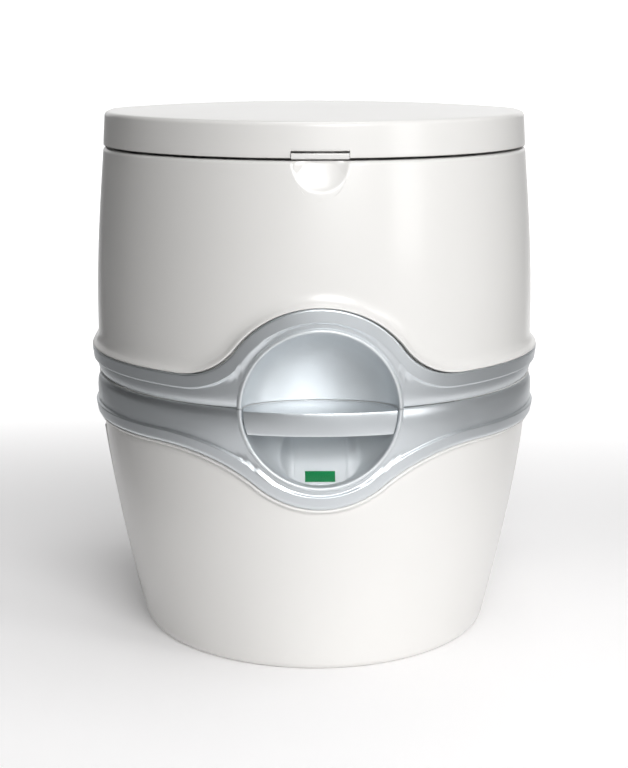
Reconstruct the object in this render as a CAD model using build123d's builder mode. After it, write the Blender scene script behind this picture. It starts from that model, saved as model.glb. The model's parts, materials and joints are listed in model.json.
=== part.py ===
"""Portable cassette toilet: a flush-water unit with bowl, seat and lid, standing on a removable waste tank.

Millimetres, +Z up, front towards -Y, origin at the middle of the base.
The two halves meet at PARTING_Z, where a grey band runs round the body and widens
at the front into a round grip recess that holds the pull handle of the slide valve.
"""

import os
from math import cos, radians, sin, sqrt

from build123d import *

os.makedirs("parts", exist_ok=True)

# ---------------------------------------------------------------- driving dimensions
PARTING_Z = 218.0  # where the flush unit stands on the waste tank
SEAM = 0.3  # half of the gap at the parting plane
AXIS_Y = -8.0  # centre of the half ellipse that forms the front of every plan section
WALL = 3.0
FIT = 0.3  # gap left between welded or clipped shells

# plan sections: height, half width, reach in front of AXIS_Y, rear face, rear corner radius
WASTE_LEVELS = [
    (0.0, 148.3, 189.5, 188.0, 70.0),
    (60.0, 163.0, 196.0, 199.0, 74.0),
    (120.0, 175.6, 202.0, 209.0, 78.0),
    (183.0, 184.7, 206.5, 216.0, 80.0),
    (PARTING_Z - SEAM, 187.0, 210.0, 219.0, 82.0),
]
FLUSH_LEVELS = [
    (PARTING_Z + SEAM, 188.0, 211.0, 219.0, 82.0),
    (300.0, 188.3, 210.0, 218.5, 82.0),
    (350.0, 186.0, 207.0, 217.0, 80.0),
    (411.5, 181.5, 200.0, 214.0, 80.0),
]
LOWER_TRIM_LEVELS = [
    (136.0, 182.5, 207.5, 214.0, 82.0),
    (183.0, 188.6, 212.8, 221.5, 84.0),
    (196.0, 191.8, 215.2, 223.6, 84.0),
    (207.0, 192.0, 216.4, 224.2, 84.0),
    (PARTING_Z - SEAM, 187.8, 216.0, 223.5, 84.0),
]
UPPER_TRIM_LEVELS = [
    (PARTING_Z + SEAM, 187.8, 216.0, 223.5, 84.0),
    (230.0, 191.8, 216.8, 224.4, 84.0),
    (242.0, 194.0, 217.0, 225.0, 84.0),
    (302.0, 192.9, 215.5, 224.0, 84.0),
]

# grip recess in the front of the band
RECESS_R = 61.5
RECESS_WALL = 2.5
RECESS_BACK_Y = -172.0
RECESS_SIDE_Y = -208.0  # where the straight side turns into the rounded back
TRIM_R = 81.0  # outer radius of the band around the recess
UPPER_BAND, UPPER_SHOULDER = 24.0, 56.0  # band height at the sides, and fillet into the round part
LOWER_BAND, LOWER_SHOULDER = 35.0, 131.0

# slide valve
VALVE_Y, VALVE_R = 8.0, 45.0
BLADE_Z, BLADE_T, BLADE_W = 205.0, 4.0, 112.0
FRAME_LOW, FRAME_HIGH, FRAME_W = 200.3, 213.0, 132.0
HANDLE_LOW, HANDLE_HIGH = 198.3, PARTING_Z - 1.2
DECK_Z = 200.0

# corner notch for the pour-out spout
NOTCH_X, NOTCH_Y, NOTCH_Z = 12.0, 145.0, 153.0
SPOUT_X, SPOUT_Y, SPOUT_Z = -128.0, 176.0, 183.5
SPOUT_R, SPOUT_BORE, SPOUT_BEND = 23.5, 20.5, 26.0
SPOUT_END_X = -44.0
VENT_X, VENT_Y = 70.0, 120.0

# top of the flush unit
TOP_Z = 411.5
PUMP_X, FILL_X, DECK_PARTS_Y = -95.0, 95.0, 190.0
HINGE_Y, HINGE_Z, HINGE_R = 137.0, 430.0, 4.0
HINGE_PLAY = 0.06
PLATE_T = 1.6  # hinge base plates
BOWL_Y = -50.0
LID_LOW, LID_TOP = 413.5, 448.0
LID_CROWN_R = 2700.0


# ---------------------------------------------------------------- shared shapes
def plan_section(z, half_width, front, rear, corner):
    """A half ellipse in front, straight sides, and a flat rear with round corners."""
    with BuildSketch(Plane.XY.offset(z)) as section:
        with BuildLine():
            EllipticalCenterArc((0, AXIS_Y), half_width, front, 180, arc_size=180)
            Line((half_width, AXIS_Y), (half_width, rear - corner))
            CenterArc((half_width - corner, rear - corner), corner, 0, arc_size=90)
            Line((half_width - corner, rear), (corner - half_width, rear))
            CenterArc((corner - half_width, rear - corner), corner, 90, arc_size=90)
            Line((-half_width, rear - corner), (-half_width, AXIS_Y))
        make_face()
    return section.sketch


def hull_body(levels, inset=0.0, low=None, high=None):
    """A smooth loft through plan sections, pulled in by inset, with its end heights moved if asked."""
    sections = []
    for z, half_width, front, rear, corner in levels:
        if z == levels[0][0] and low is not None:
            z = low
        if z == levels[-1][0] and high is not None:
            z = high
        sections.append(plan_section(z, half_width - inset, front - inset, rear - inset, corner - inset))
    with BuildPart() as body:
        loft(sections)
    return body.part


def oval_section(z, half_width, front, rear):
    """Two half ellipses that meet at AXIS_Y."""
    with BuildSketch(Plane.XY.offset(z)) as section:
        with BuildLine():
            EllipticalCenterArc((0, AXIS_Y), half_width, front, 180, arc_size=180)
            EllipticalCenterArc((0, AXIS_Y), half_width, rear, 0, arc_size=180)
        make_face()
    return section.sketch


def block(x, y, z):
    """A box between the given low and high coordinates."""
    with BuildPart() as body:
        with Locations(((x[0] + x[1]) / 2, (y[0] + y[1]) / 2, (z[0] + z[1]) / 2)):
            Box(x[1] - x[0], y[1] - y[0], z[1] - z[0])
    return body.part


def rod(x, y, z, radius, axis="z"):
    """A cylinder along one axis: the pair of values gives its ends, the other two its centre."""
    planes = {
        "x": lambda: Plane(origin=(x[0], y, z), x_dir=(0, 1, 0), z_dir=(1, 0, 0)),
        "y": lambda: Plane(origin=(x, y[0], z), x_dir=(1, 0, 0), z_dir=(0, 1, 0)),
        "z": lambda: Plane.XY.offset(z[0]).move(Location((x, y, 0))),
    }
    ends = {"x": x, "y": y, "z": z}[axis]
    with BuildPart() as body:
        with BuildSketch(planes[axis]()):
            Circle(radius)
        extrude(amount=ends[1] - ends[0])
    return body.part


def recess_body(grow):
    """The round hollow of the grip recess, grown outwards: a short cylinder with an elliptical back."""
    radius = RECESS_R + grow
    depth = RECESS_BACK_Y - RECESS_SIDE_Y + grow
    with BuildPart() as body:
        with BuildSketch(Plane.XY.offset(PARTING_Z)):
            with BuildLine():
                Line((0, -240), (radius, -240))
                Line((radius, -240), (radius, RECESS_SIDE_Y))
                EllipticalCenterArc((0, RECESS_SIDE_Y), radius, depth, 0, arc_size=90)
                Line((0, RECESS_SIDE_Y + depth), (0, -240))
            make_face()
        revolve(axis=Axis((0, 0, PARTING_Z), (0, 1, 0)))
    return body.part


def band_region(band, shoulder, up):
    """The space of one half of the grey band: a straight strip that swells round the recess in front."""
    side = 1 if up else -1
    spread = sqrt((TRIM_R + shoulder) ** 2 - (band + shoulder) ** 2)
    share = TRIM_R / (TRIM_R + shoulder)
    knee_x, knee_z = spread * share, (band + shoulder) * share
    # middle of the shoulder arc, between its two tangent points as seen from its centre
    pull_x, pull_z = -spread / (TRIM_R + shoulder), -(band + shoulder) / (TRIM_R + shoulder) - 1
    pull = shoulder / sqrt(pull_x**2 + pull_z**2)
    mid_x, mid_z = spread + pull_x * pull, band + shoulder + pull_z * pull
    front = Plane(origin=(0, 0, PARTING_Z + side * SEAM), x_dir=(1, 0, 0), z_dir=(0, -1, 0))
    with BuildPart() as region:
        with BuildSketch(front):
            with BuildLine():
                Line((-230, 0), (-230, side * band))
                Line((-230, side * band), (-spread, side * band))
                ThreePointArc((-spread, side * band), (-mid_x, side * mid_z), (-knee_x, side * knee_z))
                ThreePointArc((-knee_x, side * knee_z), (0, side * TRIM_R), (knee_x, side * knee_z))
                ThreePointArc((knee_x, side * knee_z), (mid_x, side * mid_z), (spread, side * band))
                Line((spread, side * band), (230, side * band))
                Line((230, side * band), (230, 0))
                Line((230, 0), (-230, 0))
            make_face()
        extrude(amount=240)
        low, high = sorted((PARTING_Z + side * SEAM, PARTING_Z + side * (SEAM + band)))
        add(block((-230, 230), (-1, 240), (low, high)))
    return region.part


def save(part, name):
    """Labels a finished piece and writes it."""
    part.label = name
    export_step(part, f"parts/{name}.step")


waste_outer = hull_body(WASTE_LEVELS)
waste_inner = hull_body(WASTE_LEVELS, WALL, low=WALL)
waste_inner_clear = hull_body(WASTE_LEVELS, WALL + FIT, low=WALL)
flush_outer = hull_body(FLUSH_LEVELS)
flush_inner = hull_body(FLUSH_LEVELS, WALL, low=PARTING_Z, high=TOP_Z - WALL)
flush_inner_clear = hull_body(FLUSH_LEVELS, WALL + FIT, low=PARTING_Z, high=TOP_Z - WALL)
recess_space = recess_body(0)
recess_pocket = recess_body(RECESS_WALL + FIT)
recess_pocket_wall = recess_body(RECESS_WALL + FIT + WALL)
spout_notch = block((-230, NOTCH_X + WALL), (NOTCH_Y, 240), (NOTCH_Z - WALL, PARTING_Z))
lower_trim_body = hull_body(LOWER_TRIM_LEVELS)
upper_trim_body = hull_body(UPPER_TRIM_LEVELS)

# rear latch: a pocket in both rear walls that the sprung plate folds into
LATCH_X, LATCH_Y, LATCH_Z = 80.0, 217.5, 176.0
LATCH_AJAR = 5.0  # stored just unhooked, so the flush unit can be lifted off
LATCH_FLOOR = 213.0
latch_slot = block((LATCH_X - 18, LATCH_X + 18), (LATCH_FLOOR, 240), (168, 244))
latch_pad = block((LATCH_X - 22, LATCH_X + 22), (LATCH_FLOOR - 4, 240), (164, 248))
latch_pad_clear = block((LATCH_X - 22.3, LATCH_X + 22.3), (LATCH_FLOOR - 4.3, 240), (160, 252))

# level window in the lower half of the recess, and the striped roller behind it
PANEL_HALF, PANEL_TOP, PANEL_LOW = 20.0, 196.0, 157.5
PANEL_TOP_Y, PANEL_LOW_Y = -176.0, -209.0
PANEL_LEAN = sqrt((PANEL_TOP - PANEL_LOW) ** 2 + (PANEL_TOP_Y - PANEL_LOW_Y) ** 2)
panel_out = Vector(0, -(PANEL_TOP - PANEL_LOW), PANEL_TOP_Y - PANEL_LOW_Y) / PANEL_LEAN
WINDOW_Z = 162.5
WINDOW_Y = PANEL_TOP_Y + (PANEL_LOW_Y - PANEL_TOP_Y) * (PANEL_TOP - WINDOW_Z) / (PANEL_TOP - PANEL_LOW)
window_plane = Plane(origin=(0, WINDOW_Y, WINDOW_Z), x_dir=(1, 0, 0), z_dir=panel_out)
FLAG_R, FLAG_BACK = 3.2, 5.4
flag_centre = Vector(0, WINDOW_Y, WINDOW_Z) - panel_out * FLAG_BACK
flag_room = rod((-12.5, 12.5), flag_centre.Y, flag_centre.Z, FLAG_R + 0.5, "x")


# ---------------------------------------------------------------- waste tank: shell and deck
SIDE_STEP = 4.0  # the rear half of the side walls stands proud of the front half
SIDE_STEP_TOP = 165.0

with BuildPart() as waste_tank_shell:
    add(waste_outer)
    # side panels: from just behind the widest point back to the corner
    with BuildPart(mode=Mode.PRIVATE) as side_steps:
        add(hull_body(WASTE_LEVELS, -SIDE_STEP))
        add(block((-230, 230), (6, 128), (0, SIDE_STEP_TOP)), mode=Mode.INTERSECT)
    add(side_steps.part)
    with BuildPart(mode=Mode.PRIVATE) as tank_room:
        add(waste_inner)
        add(recess_pocket_wall, mode=Mode.SUBTRACT)
        add(latch_pad, mode=Mode.SUBTRACT)
    add(tank_room.part, mode=Mode.SUBTRACT)
    add(latch_slot, mode=Mode.SUBTRACT)
    add(recess_pocket, mode=Mode.SUBTRACT)
    add(spout_notch, mode=Mode.SUBTRACT)
    # groove behind the level window that clears the turning flag
    add(flag_room, mode=Mode.SUBTRACT)
    # seat of the two hold-down hooks, one in each side panel
    add(block((-230, -176), (16, 26), (148, 156)), mode=Mode.SUBTRACT)
    add(block((176, 230), (16, 26), (148, 156)), mode=Mode.SUBTRACT)
    # slot for the valve stem, and the flat seat of the latch
    add(block((-17.5, 17.5), (-200, -150), (BLADE_Z - 1.5, BLADE_Z + BLADE_T + 1.5)), mode=Mode.SUBTRACT)
save(waste_tank_shell.part, "waste_tank_shell")

with BuildPart() as waste_tank_deck:
    add(block((-230, 230), (-230, 230), (DECK_Z - WALL, DECK_Z)))
    add(block((-230, NOTCH_X), (NOTCH_Y, 230), (DECK_Z - 5, DECK_Z + 1)), mode=Mode.SUBTRACT)
    with BuildPart(mode=Mode.PRIVATE) as deck_limit:
        add(waste_inner_clear)
        add(recess_body(RECESS_WALL + FIT + WALL + FIT), mode=Mode.SUBTRACT)
        add(latch_pad_clear, mode=Mode.SUBTRACT)
    add(deck_limit.part, mode=Mode.INTERSECT)
    add(rod(0, VALVE_Y, (DECK_Z - 5, DECK_Z + 1), VALVE_R), mode=Mode.SUBTRACT)
    add(rod(VENT_X, VENT_Y, (DECK_Z - 5, DECK_Z + 1), 4.0), mode=Mode.SUBTRACT)
save(waste_tank_deck.part, "waste_tank_deck")

# floor and two walls of the corner bay that the spout folds into, under the deck's edge
with BuildPart() as spout_bay:
    add(block((-230, NOTCH_X + WALL), (NOTCH_Y - WALL, 230), (NOTCH_Z - WALL, DECK_Z - WALL)))
    add(block((-230, NOTCH_X), (NOTCH_Y, 230), (NOTCH_Z, DECK_Z)), mode=Mode.SUBTRACT)
    add(waste_inner_clear, mode=Mode.INTERSECT)
    add(rod(SPOUT_X, SPOUT_Y, (NOTCH_Z - 4, NOTCH_Z + 1), SPOUT_R + 0.5), mode=Mode.SUBTRACT)
save(spout_bay.part, "spout_bay")

with BuildPart() as lower_trim:
    add(lower_trim_body)
    add(band_region(LOWER_BAND, LOWER_SHOULDER, False), mode=Mode.INTERSECT)
    add(hull_body(WASTE_LEVELS, -FIT, low=-1.0, high=PARTING_Z + 1), mode=Mode.SUBTRACT)
    add(recess_body(RECESS_WALL + 0.1), mode=Mode.SUBTRACT)
    add(spout_notch, mode=Mode.SUBTRACT)
    add(latch_slot, mode=Mode.SUBTRACT)
save(lower_trim.part, "lower_trim")

# ---------------------------------------------------------------- lower half of the grip recess
with BuildPart() as lower_recess_dish:
    add(recess_body(RECESS_WALL))
    add(recess_space, mode=Mode.SUBTRACT)
    add(lower_trim_body, mode=Mode.INTERSECT)
    add(block((-17.5, 17.5), (-200, -160), (BLADE_Z - 1.5, BLADE_Z + BLADE_T + 1.5)), mode=Mode.SUBTRACT)
    add(flag_room, mode=Mode.SUBTRACT)
save(lower_recess_dish.part, "lower_recess_dish")

with BuildPart() as level_panel:
    with BuildSketch(Plane.YZ.offset(-PANEL_HALF)):
        Polygon(
            (PANEL_TOP_Y, PANEL_TOP),
            (PANEL_LOW_Y, PANEL_LOW),
            (PANEL_LOW_Y, PANEL_LOW - 4),
            (PANEL_TOP_Y + 15, PANEL_LOW - 4),
            (PANEL_TOP_Y + 15, PANEL_TOP),
            align=None,
        )
    extrude(amount=2 * PANEL_HALF)
    add(recess_body(-0.05), mode=Mode.INTERSECT)
    with BuildSketch(window_plane):
        Rectangle(24, 10)
    extrude(amount=-4, mode=Mode.SUBTRACT)
    add(flag_room, mode=Mode.SUBTRACT)
save(level_panel.part.solids().sort_by(SortBy.VOLUME)[-1], "level_panel")

with BuildPart() as level_window:
    with BuildSketch(window_plane.offset(-1.8)):
        Rectangle(23.8, 9.8)
    extrude(amount=1.4)
save(level_window.part, "level_window")

# the roller's two coloured halves: green faces the window until it has turned by a quarter
flag_split = Plane(origin=tuple(flag_centre), z_dir=panel_out.rotate(Axis.X, 45))
with BuildPart() as level_flag:
    add(rod((-11.5, 11.5), flag_centre.Y, flag_centre.Z, FLAG_R, "x"))
    split(bisect_by=flag_split, keep=Keep.TOP)
save(level_flag.part, "level_flag")

with BuildPart() as level_flag_red:
    add(rod((-11.5, 11.5), flag_centre.Y, flag_centre.Z, FLAG_R, "x"))
    split(bisect_by=flag_split, keep=Keep.BOTTOM)
save(level_flag_red.part, "level_flag_red")

# ---------------------------------------------------------------- waste level float
FLOAT_PIVOT_Y, FLOAT_PIVOT_Z = -180.0, 143.0
FLOAT_LEAN = 40.0  # the arm hangs down by this many degrees in an empty tank
FLOAT_ARM = 72.0
float_y = FLOAT_PIVOT_Y + FLOAT_ARM * cos(radians(FLOAT_LEAN))
float_z = FLOAT_PIVOT_Z - FLOAT_ARM * sin(radians(FLOAT_LEAN))

with BuildPart() as float_bracket:
    for side in (-1, 1):
        ear = sorted((side * 5.0, side * 8.0))
        add(block(ear, (-200, FLOAT_PIVOT_Y + 4), (FLOAT_PIVOT_Z - 5, FLOAT_PIVOT_Z + 5)))
    add(block((-8, 8), (-215, -193), (FLOAT_PIVOT_Z - 5, FLOAT_PIVOT_Z + 5)))
    add(hull_body(WASTE_LEVELS, WALL + 0.05), mode=Mode.INTERSECT)
    add(rod((-8, 8), FLOAT_PIVOT_Y, FLOAT_PIVOT_Z, 1.6, "x"))
save(float_bracket.part, "float_bracket")

with BuildPart() as level_float_arm:
    arm_plane = Plane(
        origin=(-2.5, FLOAT_PIVOT_Y, FLOAT_PIVOT_Z),
        x_dir=(0, cos(radians(FLOAT_LEAN)), -sin(radians(FLOAT_LEAN))),
        z_dir=(1, 0, 0),
    )
    with BuildSketch(arm_plane):
        with Locations((FLOAT_ARM / 2, 0)):
            SlotCenterToCenter(FLOAT_ARM, 8)
        with Locations((0, 0)):
            Circle(1.6 + 0.06, mode=Mode.SUBTRACT)
    extrude(amount=5)
save(level_float_arm.part, "level_float_arm")

with BuildPart() as level_float:
    with Locations((0, float_y, float_z)):
        Box(44, 34, 18)
    fillet(level_float.edges(), 4)
    add(level_float_arm.part, mode=Mode.SUBTRACT)
save(level_float.part, "level_float")

# ---------------------------------------------------------------- slide valve
FRAME_SCREWS = [(x, y) for x in (-60.5, 60.5) for y in (-146, 70)]
SLOT_HALF, SLOT_PLAY = BLADE_W / 2 + 0.5, 0.4

with BuildPart() as valve_frame:
    frame_x = FRAME_W / 2
    add(block((-frame_x, frame_x), (-156, 80), (FRAME_LOW, FRAME_HIGH)))
    fillet(valve_frame.edges().filter_by(Axis.Z), 12)
    slot_z = (BLADE_Z - SLOT_PLAY, BLADE_Z + BLADE_T + SLOT_PLAY)
    add(block((-SLOT_HALF, SLOT_HALF), (-170, 66), slot_z), mode=Mode.SUBTRACT)
    add(rod(0, VALVE_Y, (FRAME_LOW - 1, FRAME_HIGH + 1), VALVE_R), mode=Mode.SUBTRACT)
    with Locations([(x, y, FRAME_HIGH) for x, y in FRAME_SCREWS]):
        Hole(2.1, FRAME_HIGH - FRAME_LOW)
save(valve_frame.part, "valve_frame")

with BuildPart() as valve_frame_screws:
    for x, y in FRAME_SCREWS:
        add(rod(x, y, (FRAME_LOW, FRAME_HIGH), 2.0))
        add(rod(x, y, (FRAME_HIGH, FRAME_HIGH + 2.2), 3.8))
save(valve_frame_screws.part, "valve_frame_screws")

with BuildPart() as valve_lip_seal:
    add(rod(0, VALVE_Y, (FRAME_HIGH, PARTING_Z - 1.0), 54))
    add(rod(0, VALVE_Y, (FRAME_HIGH, PARTING_Z), 44), mode=Mode.SUBTRACT)
    chamfer(valve_lip_seal.edges().group_by(Axis.Z)[-1], 1.5)
save(valve_lip_seal.part, "valve_lip_seal")

with BuildPart() as valve_base_seal:
    add(rod(0, VALVE_Y, (DECK_Z, FRAME_LOW), 60))
    add(rod(0, VALVE_Y, (DECK_Z - 1, FRAME_LOW + 1), 46), mode=Mode.SUBTRACT)
save(valve_base_seal.part, "valve_base_seal")

with BuildPart() as valve_blade:
    with BuildSketch(Plane.XY.offset(BLADE_Z)):
        with Locations((0, 3)):
            RectangleRounded(BLADE_W, 118, 22)
        with Locations((0, -115)):
            Rectangle(32, 126)
    extrude(amount=BLADE_T)
save(valve_blade.part, "valve_blade")

with BuildPart() as valve_handle:
    add(recess_body(-0.9))
    add(block((-70, 70), (-240, -150), (HANDLE_LOW, HANDLE_HIGH)), mode=Mode.INTERSECT)
    add(lower_trim_body, mode=Mode.INTERSECT)
    with BuildPart(mode=Mode.PRIVATE) as grip_hollow:
        add(hull_body(LOWER_TRIM_LEVELS, 5.0))
        add(block((-70, 70), (-240, -150), (HANDLE_LOW - 5, HANDLE_HIGH - 3)), mode=Mode.INTERSECT)
    add(grip_hollow.part, mode=Mode.SUBTRACT)
    # socket that takes the stem, with a rib each side
    add(block((-19, 19), (-202, -178.2), (BLADE_Z - 3, HANDLE_HIGH - 3)))
    add(block((-16.1, 16.1), (-179, -176), (BLADE_Z - 0.1, BLADE_Z + BLADE_T + 0.1)), mode=Mode.SUBTRACT)
save(valve_handle.part, "valve_handle")

# ---------------------------------------------------------------- pour-out spout
ARM_START_X = SPOUT_X + SPOUT_BEND
with BuildPart() as spout_elbow:
    with BuildLine() as spout_path:
        Line((SPOUT_X, SPOUT_Y, NOTCH_Z - 8), (SPOUT_X, SPOUT_Y, SPOUT_Z - SPOUT_BEND))
        ThreePointArc(
            (SPOUT_X, SPOUT_Y, SPOUT_Z - SPOUT_BEND),
            (
                ARM_START_X - SPOUT_BEND * cos(radians(45)),
                SPOUT_Y,
                SPOUT_Z - SPOUT_BEND + SPOUT_BEND * sin(radians(45)),
            ),
            (ARM_START_X, SPOUT_Y, SPOUT_Z),
        )
        Line((ARM_START_X, SPOUT_Y, SPOUT_Z), (SPOUT_END_X, SPOUT_Y, SPOUT_Z))
    with BuildSketch(Plane.XY.offset(NOTCH_Z - 8).move(Location((SPOUT_X, SPOUT_Y, 0)))):
        Circle(SPOUT_R)
        Circle(SPOUT_BORE, mode=Mode.SUBTRACT)
    sweep(path=spout_path.line)
save(spout_elbow.part, "spout_elbow")

with BuildPart() as spout_collar:
    add(rod(SPOUT_X, SPOUT_Y, (NOTCH_Z, NOTCH_Z + 5), SPOUT_R + 6))
    add(rod(SPOUT_X, SPOUT_Y, (NOTCH_Z - 1, NOTCH_Z + 6), SPOUT_R + 0.5), mode=Mode.SUBTRACT)
    chamfer(spout_collar.edges().group_by(Axis.Z)[-1].sort_by(SortBy.RADIUS)[-1], 1.5)
save(spout_collar.part, "spout_collar")

with BuildPart() as spout_cap:
    add(rod((-62, -38), SPOUT_Y, SPOUT_Z, 27.0, "x"))
    fillet(spout_cap.edges().group_by(Axis.X)[-1], 3)
    add(rod((-63, -41), SPOUT_Y, SPOUT_Z, SPOUT_R + 0.5, "x"), mode=Mode.SUBTRACT)
    # grip flutes
    with BuildSketch(Plane.YZ.offset(-62).move(Location((0, SPOUT_Y, SPOUT_Z)))):
        with PolarLocations(28.6, 18):
            Circle(3)
    extrude(amount=18, mode=Mode.SUBTRACT)
save(spout_cap.part, "spout_cap")

with BuildPart() as spout_cap_seal:
    add(rod((-44, -41), SPOUT_Y, SPOUT_Z, SPOUT_R, "x"))
    add(rod((-45, -40), SPOUT_Y, SPOUT_Z, SPOUT_BORE, "x"), mode=Mode.SUBTRACT)
save(spout_cap_seal.part, "spout_cap_seal")

# ---------------------------------------------------------------- vent button
with BuildPart() as vent_housing:
    add(rod(VENT_X, VENT_Y, (DECK_Z, DECK_Z + 7), 13))
    add(rod(VENT_X, VENT_Y, (DECK_Z - 1, DECK_Z + 8), 8.5), mode=Mode.SUBTRACT)
    chamfer(vent_housing.edges().group_by(Axis.Z)[-1], 0.8)
save(vent_housing.part, "vent_housing")

with BuildPart() as vent_button:
    add(rod(VENT_X, VENT_Y, (DECK_Z + 8, DECK_Z + 13), 8.2))
    fillet(vent_button.edges().group_by(Axis.Z)[-1], 1.5)
    add(rod(VENT_X, VENT_Y, (DECK_Z - 4.5, DECK_Z + 8), 2.5))
save(vent_button.part, "vent_button")

with BuildPart() as vent_seal:
    add(rod(VENT_X, VENT_Y, (DECK_Z - 6.5, DECK_Z - 3.1), 8))
    add(rod(VENT_X, VENT_Y, (DECK_Z - 4.5, DECK_Z), 2.5), mode=Mode.SUBTRACT)
save(vent_seal.part, "vent_seal")

with BuildPart() as vent_spring:
    with BuildLine() as spring_line:
        Helix(2.4, 7.0, 5.0, center=(VENT_X, VENT_Y, DECK_Z + 0.55))
    with BuildSketch(Plane(origin=spring_line.line @ 0, z_dir=spring_line.line % 0)):
        Circle(0.45)
    sweep(path=spring_line.line, is_frenet=True)
save(vent_spring.part, "vent_spring")

# ---------------------------------------------------------------- rear latch
latch_pivot = Axis((LATCH_X, LATCH_Y, LATCH_Z), (-1, 0, 0))
with BuildPart() as rear_latch:
    add(block((LATCH_X - 15, LATCH_X + 15), (216, 219), (LATCH_Z, 234)))
    add(rod((LATCH_X - 15, LATCH_X + 15), LATCH_Y, LATCH_Z, 4.0, "x"))
    # finger lip, and the hook that enters the window in the flush unit
    add(block((LATCH_X - 15, LATCH_X + 15), (217, 221.5), (196, 200)))
    add(block((LATCH_X - 14, LATCH_X + 14), (213.6, 217), (227, 231)))
    add(rod((LATCH_X - 16, LATCH_X + 16), LATCH_Y, LATCH_Z, 2.0 + HINGE_PLAY, "x"), mode=Mode.SUBTRACT)
save(rear_latch.part.rotate(latch_pivot, LATCH_AJAR), "rear_latch")

with BuildPart() as latch_bracket:
    for side in (-1, 1):
        ear = sorted((LATCH_X + side * 15.4, LATCH_X + side * 17.6))
        add(block(ear, (LATCH_FLOOR, 221), (171, 181)))
    add(rod((LATCH_X - 17.6, LATCH_X + 17.6), LATCH_Y, LATCH_Z, 2.0, "x"))
save(latch_bracket.part, "latch_bracket")

# ---------------------------------------------------------------- flush unit: shell, floor, bowl, trim
BOWL_HALF_X, BOWL_HALF_Y = 118.0, 140.0
THUMB_R, THUMB_DEPTH = 58.5, 4.5
thumb_y = AXIS_Y - 200 - THUMB_R + THUMB_DEPTH


def thumb_ball(radius):
    """The ball that scoops the thumb recess out of the front wall under the lid's edge."""
    with BuildPart() as ball:
        with Locations((0, thumb_y, TOP_Z)):
            Sphere(radius)
    return ball.part


def bowl_body(inset, high):
    """Funnel from the oval rim down to the round outlet."""
    sections = []
    for z, centre_y, half_x, half_y in (
        (high, BOWL_Y, BOWL_HALF_X, BOWL_HALF_Y),
        (350, -40, 104, 118),
        (290, -14, 74, 78),
        (248, VALVE_Y, 49, 49),
    ):
        with BuildSketch(Plane.XY.offset(z)) as section:
            with Locations((0, centre_y)):
                Ellipse(half_x - inset, half_y - inset)
        sections.append(section.sketch)
    with BuildPart() as body:
        loft(sections)
        add(rod(0, VALVE_Y, (PARTING_Z - 0.8, 248), 49 - inset))
    return body.part


with BuildPart() as flush_tank_shell:
    add(flush_outer)
    with BuildPart(mode=Mode.PRIVATE) as flush_room:
        add(flush_inner)
        add(recess_pocket_wall, mode=Mode.SUBTRACT)
        add(thumb_ball(THUMB_R + WALL), mode=Mode.SUBTRACT)
        add(latch_pad, mode=Mode.SUBTRACT)
    add(flush_room.part, mode=Mode.SUBTRACT)
    add(latch_slot, mode=Mode.SUBTRACT)
    add(recess_pocket, mode=Mode.SUBTRACT)
    add(thumb_ball(THUMB_R), mode=Mode.SUBTRACT)
    with BuildSketch(Plane.XY.offset(TOP_Z - 10)):
        with Locations((0, BOWL_Y)):
            Ellipse(BOWL_HALF_X + FIT, BOWL_HALF_Y + FIT)
    extrude(amount=20, mode=Mode.SUBTRACT)
    add(rod(PUMP_X, DECK_PARTS_Y, (TOP_Z - 10, TOP_Z + 1), 16.3), mode=Mode.SUBTRACT)
    add(rod(FILL_X, DECK_PARTS_Y, (TOP_Z - 10, TOP_Z + 1), 21.3), mode=Mode.SUBTRACT)
    # window that the latch tongue enters, and the slot that shows the sight tube
    add(block((LATCH_X - 16, LATCH_X + 16), (200, 230), (224, 238)), mode=Mode.SUBTRACT)
    add(block((-5.6, 5.6), (205, 230), (256, 384)), mode=Mode.SUBTRACT)
save(flush_tank_shell.part, "flush_tank_shell")

with BuildPart() as flush_tank_floor:
    add(block((-230, 230), (-230, 230), (PARTING_Z + 3, PARTING_Z + 6)))
    add(flush_inner_clear, mode=Mode.INTERSECT)
    add(recess_body(RECESS_WALL + FIT + WALL + FIT), mode=Mode.SUBTRACT)
    add(latch_pad_clear, mode=Mode.SUBTRACT)
    add(rod(0, VALVE_Y, (PARTING_Z, PARTING_Z + 10), 49.3), mode=Mode.SUBTRACT)
save(flush_tank_floor.part, "flush_tank_floor")

with BuildPart() as toilet_bowl:
    add(bowl_body(0, TOP_Z))
    with BuildPart(mode=Mode.PRIVATE) as bowl_room:
        add(bowl_body(WALL, TOP_Z + 0.01))
        add(rod(0, VALVE_Y, (PARTING_Z - 2, PARTING_Z + 1), 49 - WALL))
    add(bowl_room.part, mode=Mode.SUBTRACT)
    add(rod(-45, (40, 120), 386, 7.2, "y"), mode=Mode.SUBTRACT)
save(toilet_bowl.part, "toilet_bowl")

with BuildPart() as upper_trim:
    add(upper_trim_body)
    add(band_region(UPPER_BAND, UPPER_SHOULDER, True), mode=Mode.INTERSECT)
    add(hull_body(FLUSH_LEVELS, -FIT, low=PARTING_Z - 1, high=TOP_Z), mode=Mode.SUBTRACT)
    add(recess_body(RECESS_WALL + 0.1), mode=Mode.SUBTRACT)
    add(latch_slot, mode=Mode.SUBTRACT)
save(upper_trim.part, "upper_trim")

with BuildPart() as upper_recess_dish:
    add(recess_body(RECESS_WALL))
    add(recess_space, mode=Mode.SUBTRACT)
    add(upper_trim_body, mode=Mode.INTERSECT)
save(upper_recess_dish.part, "upper_recess_dish")

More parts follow.
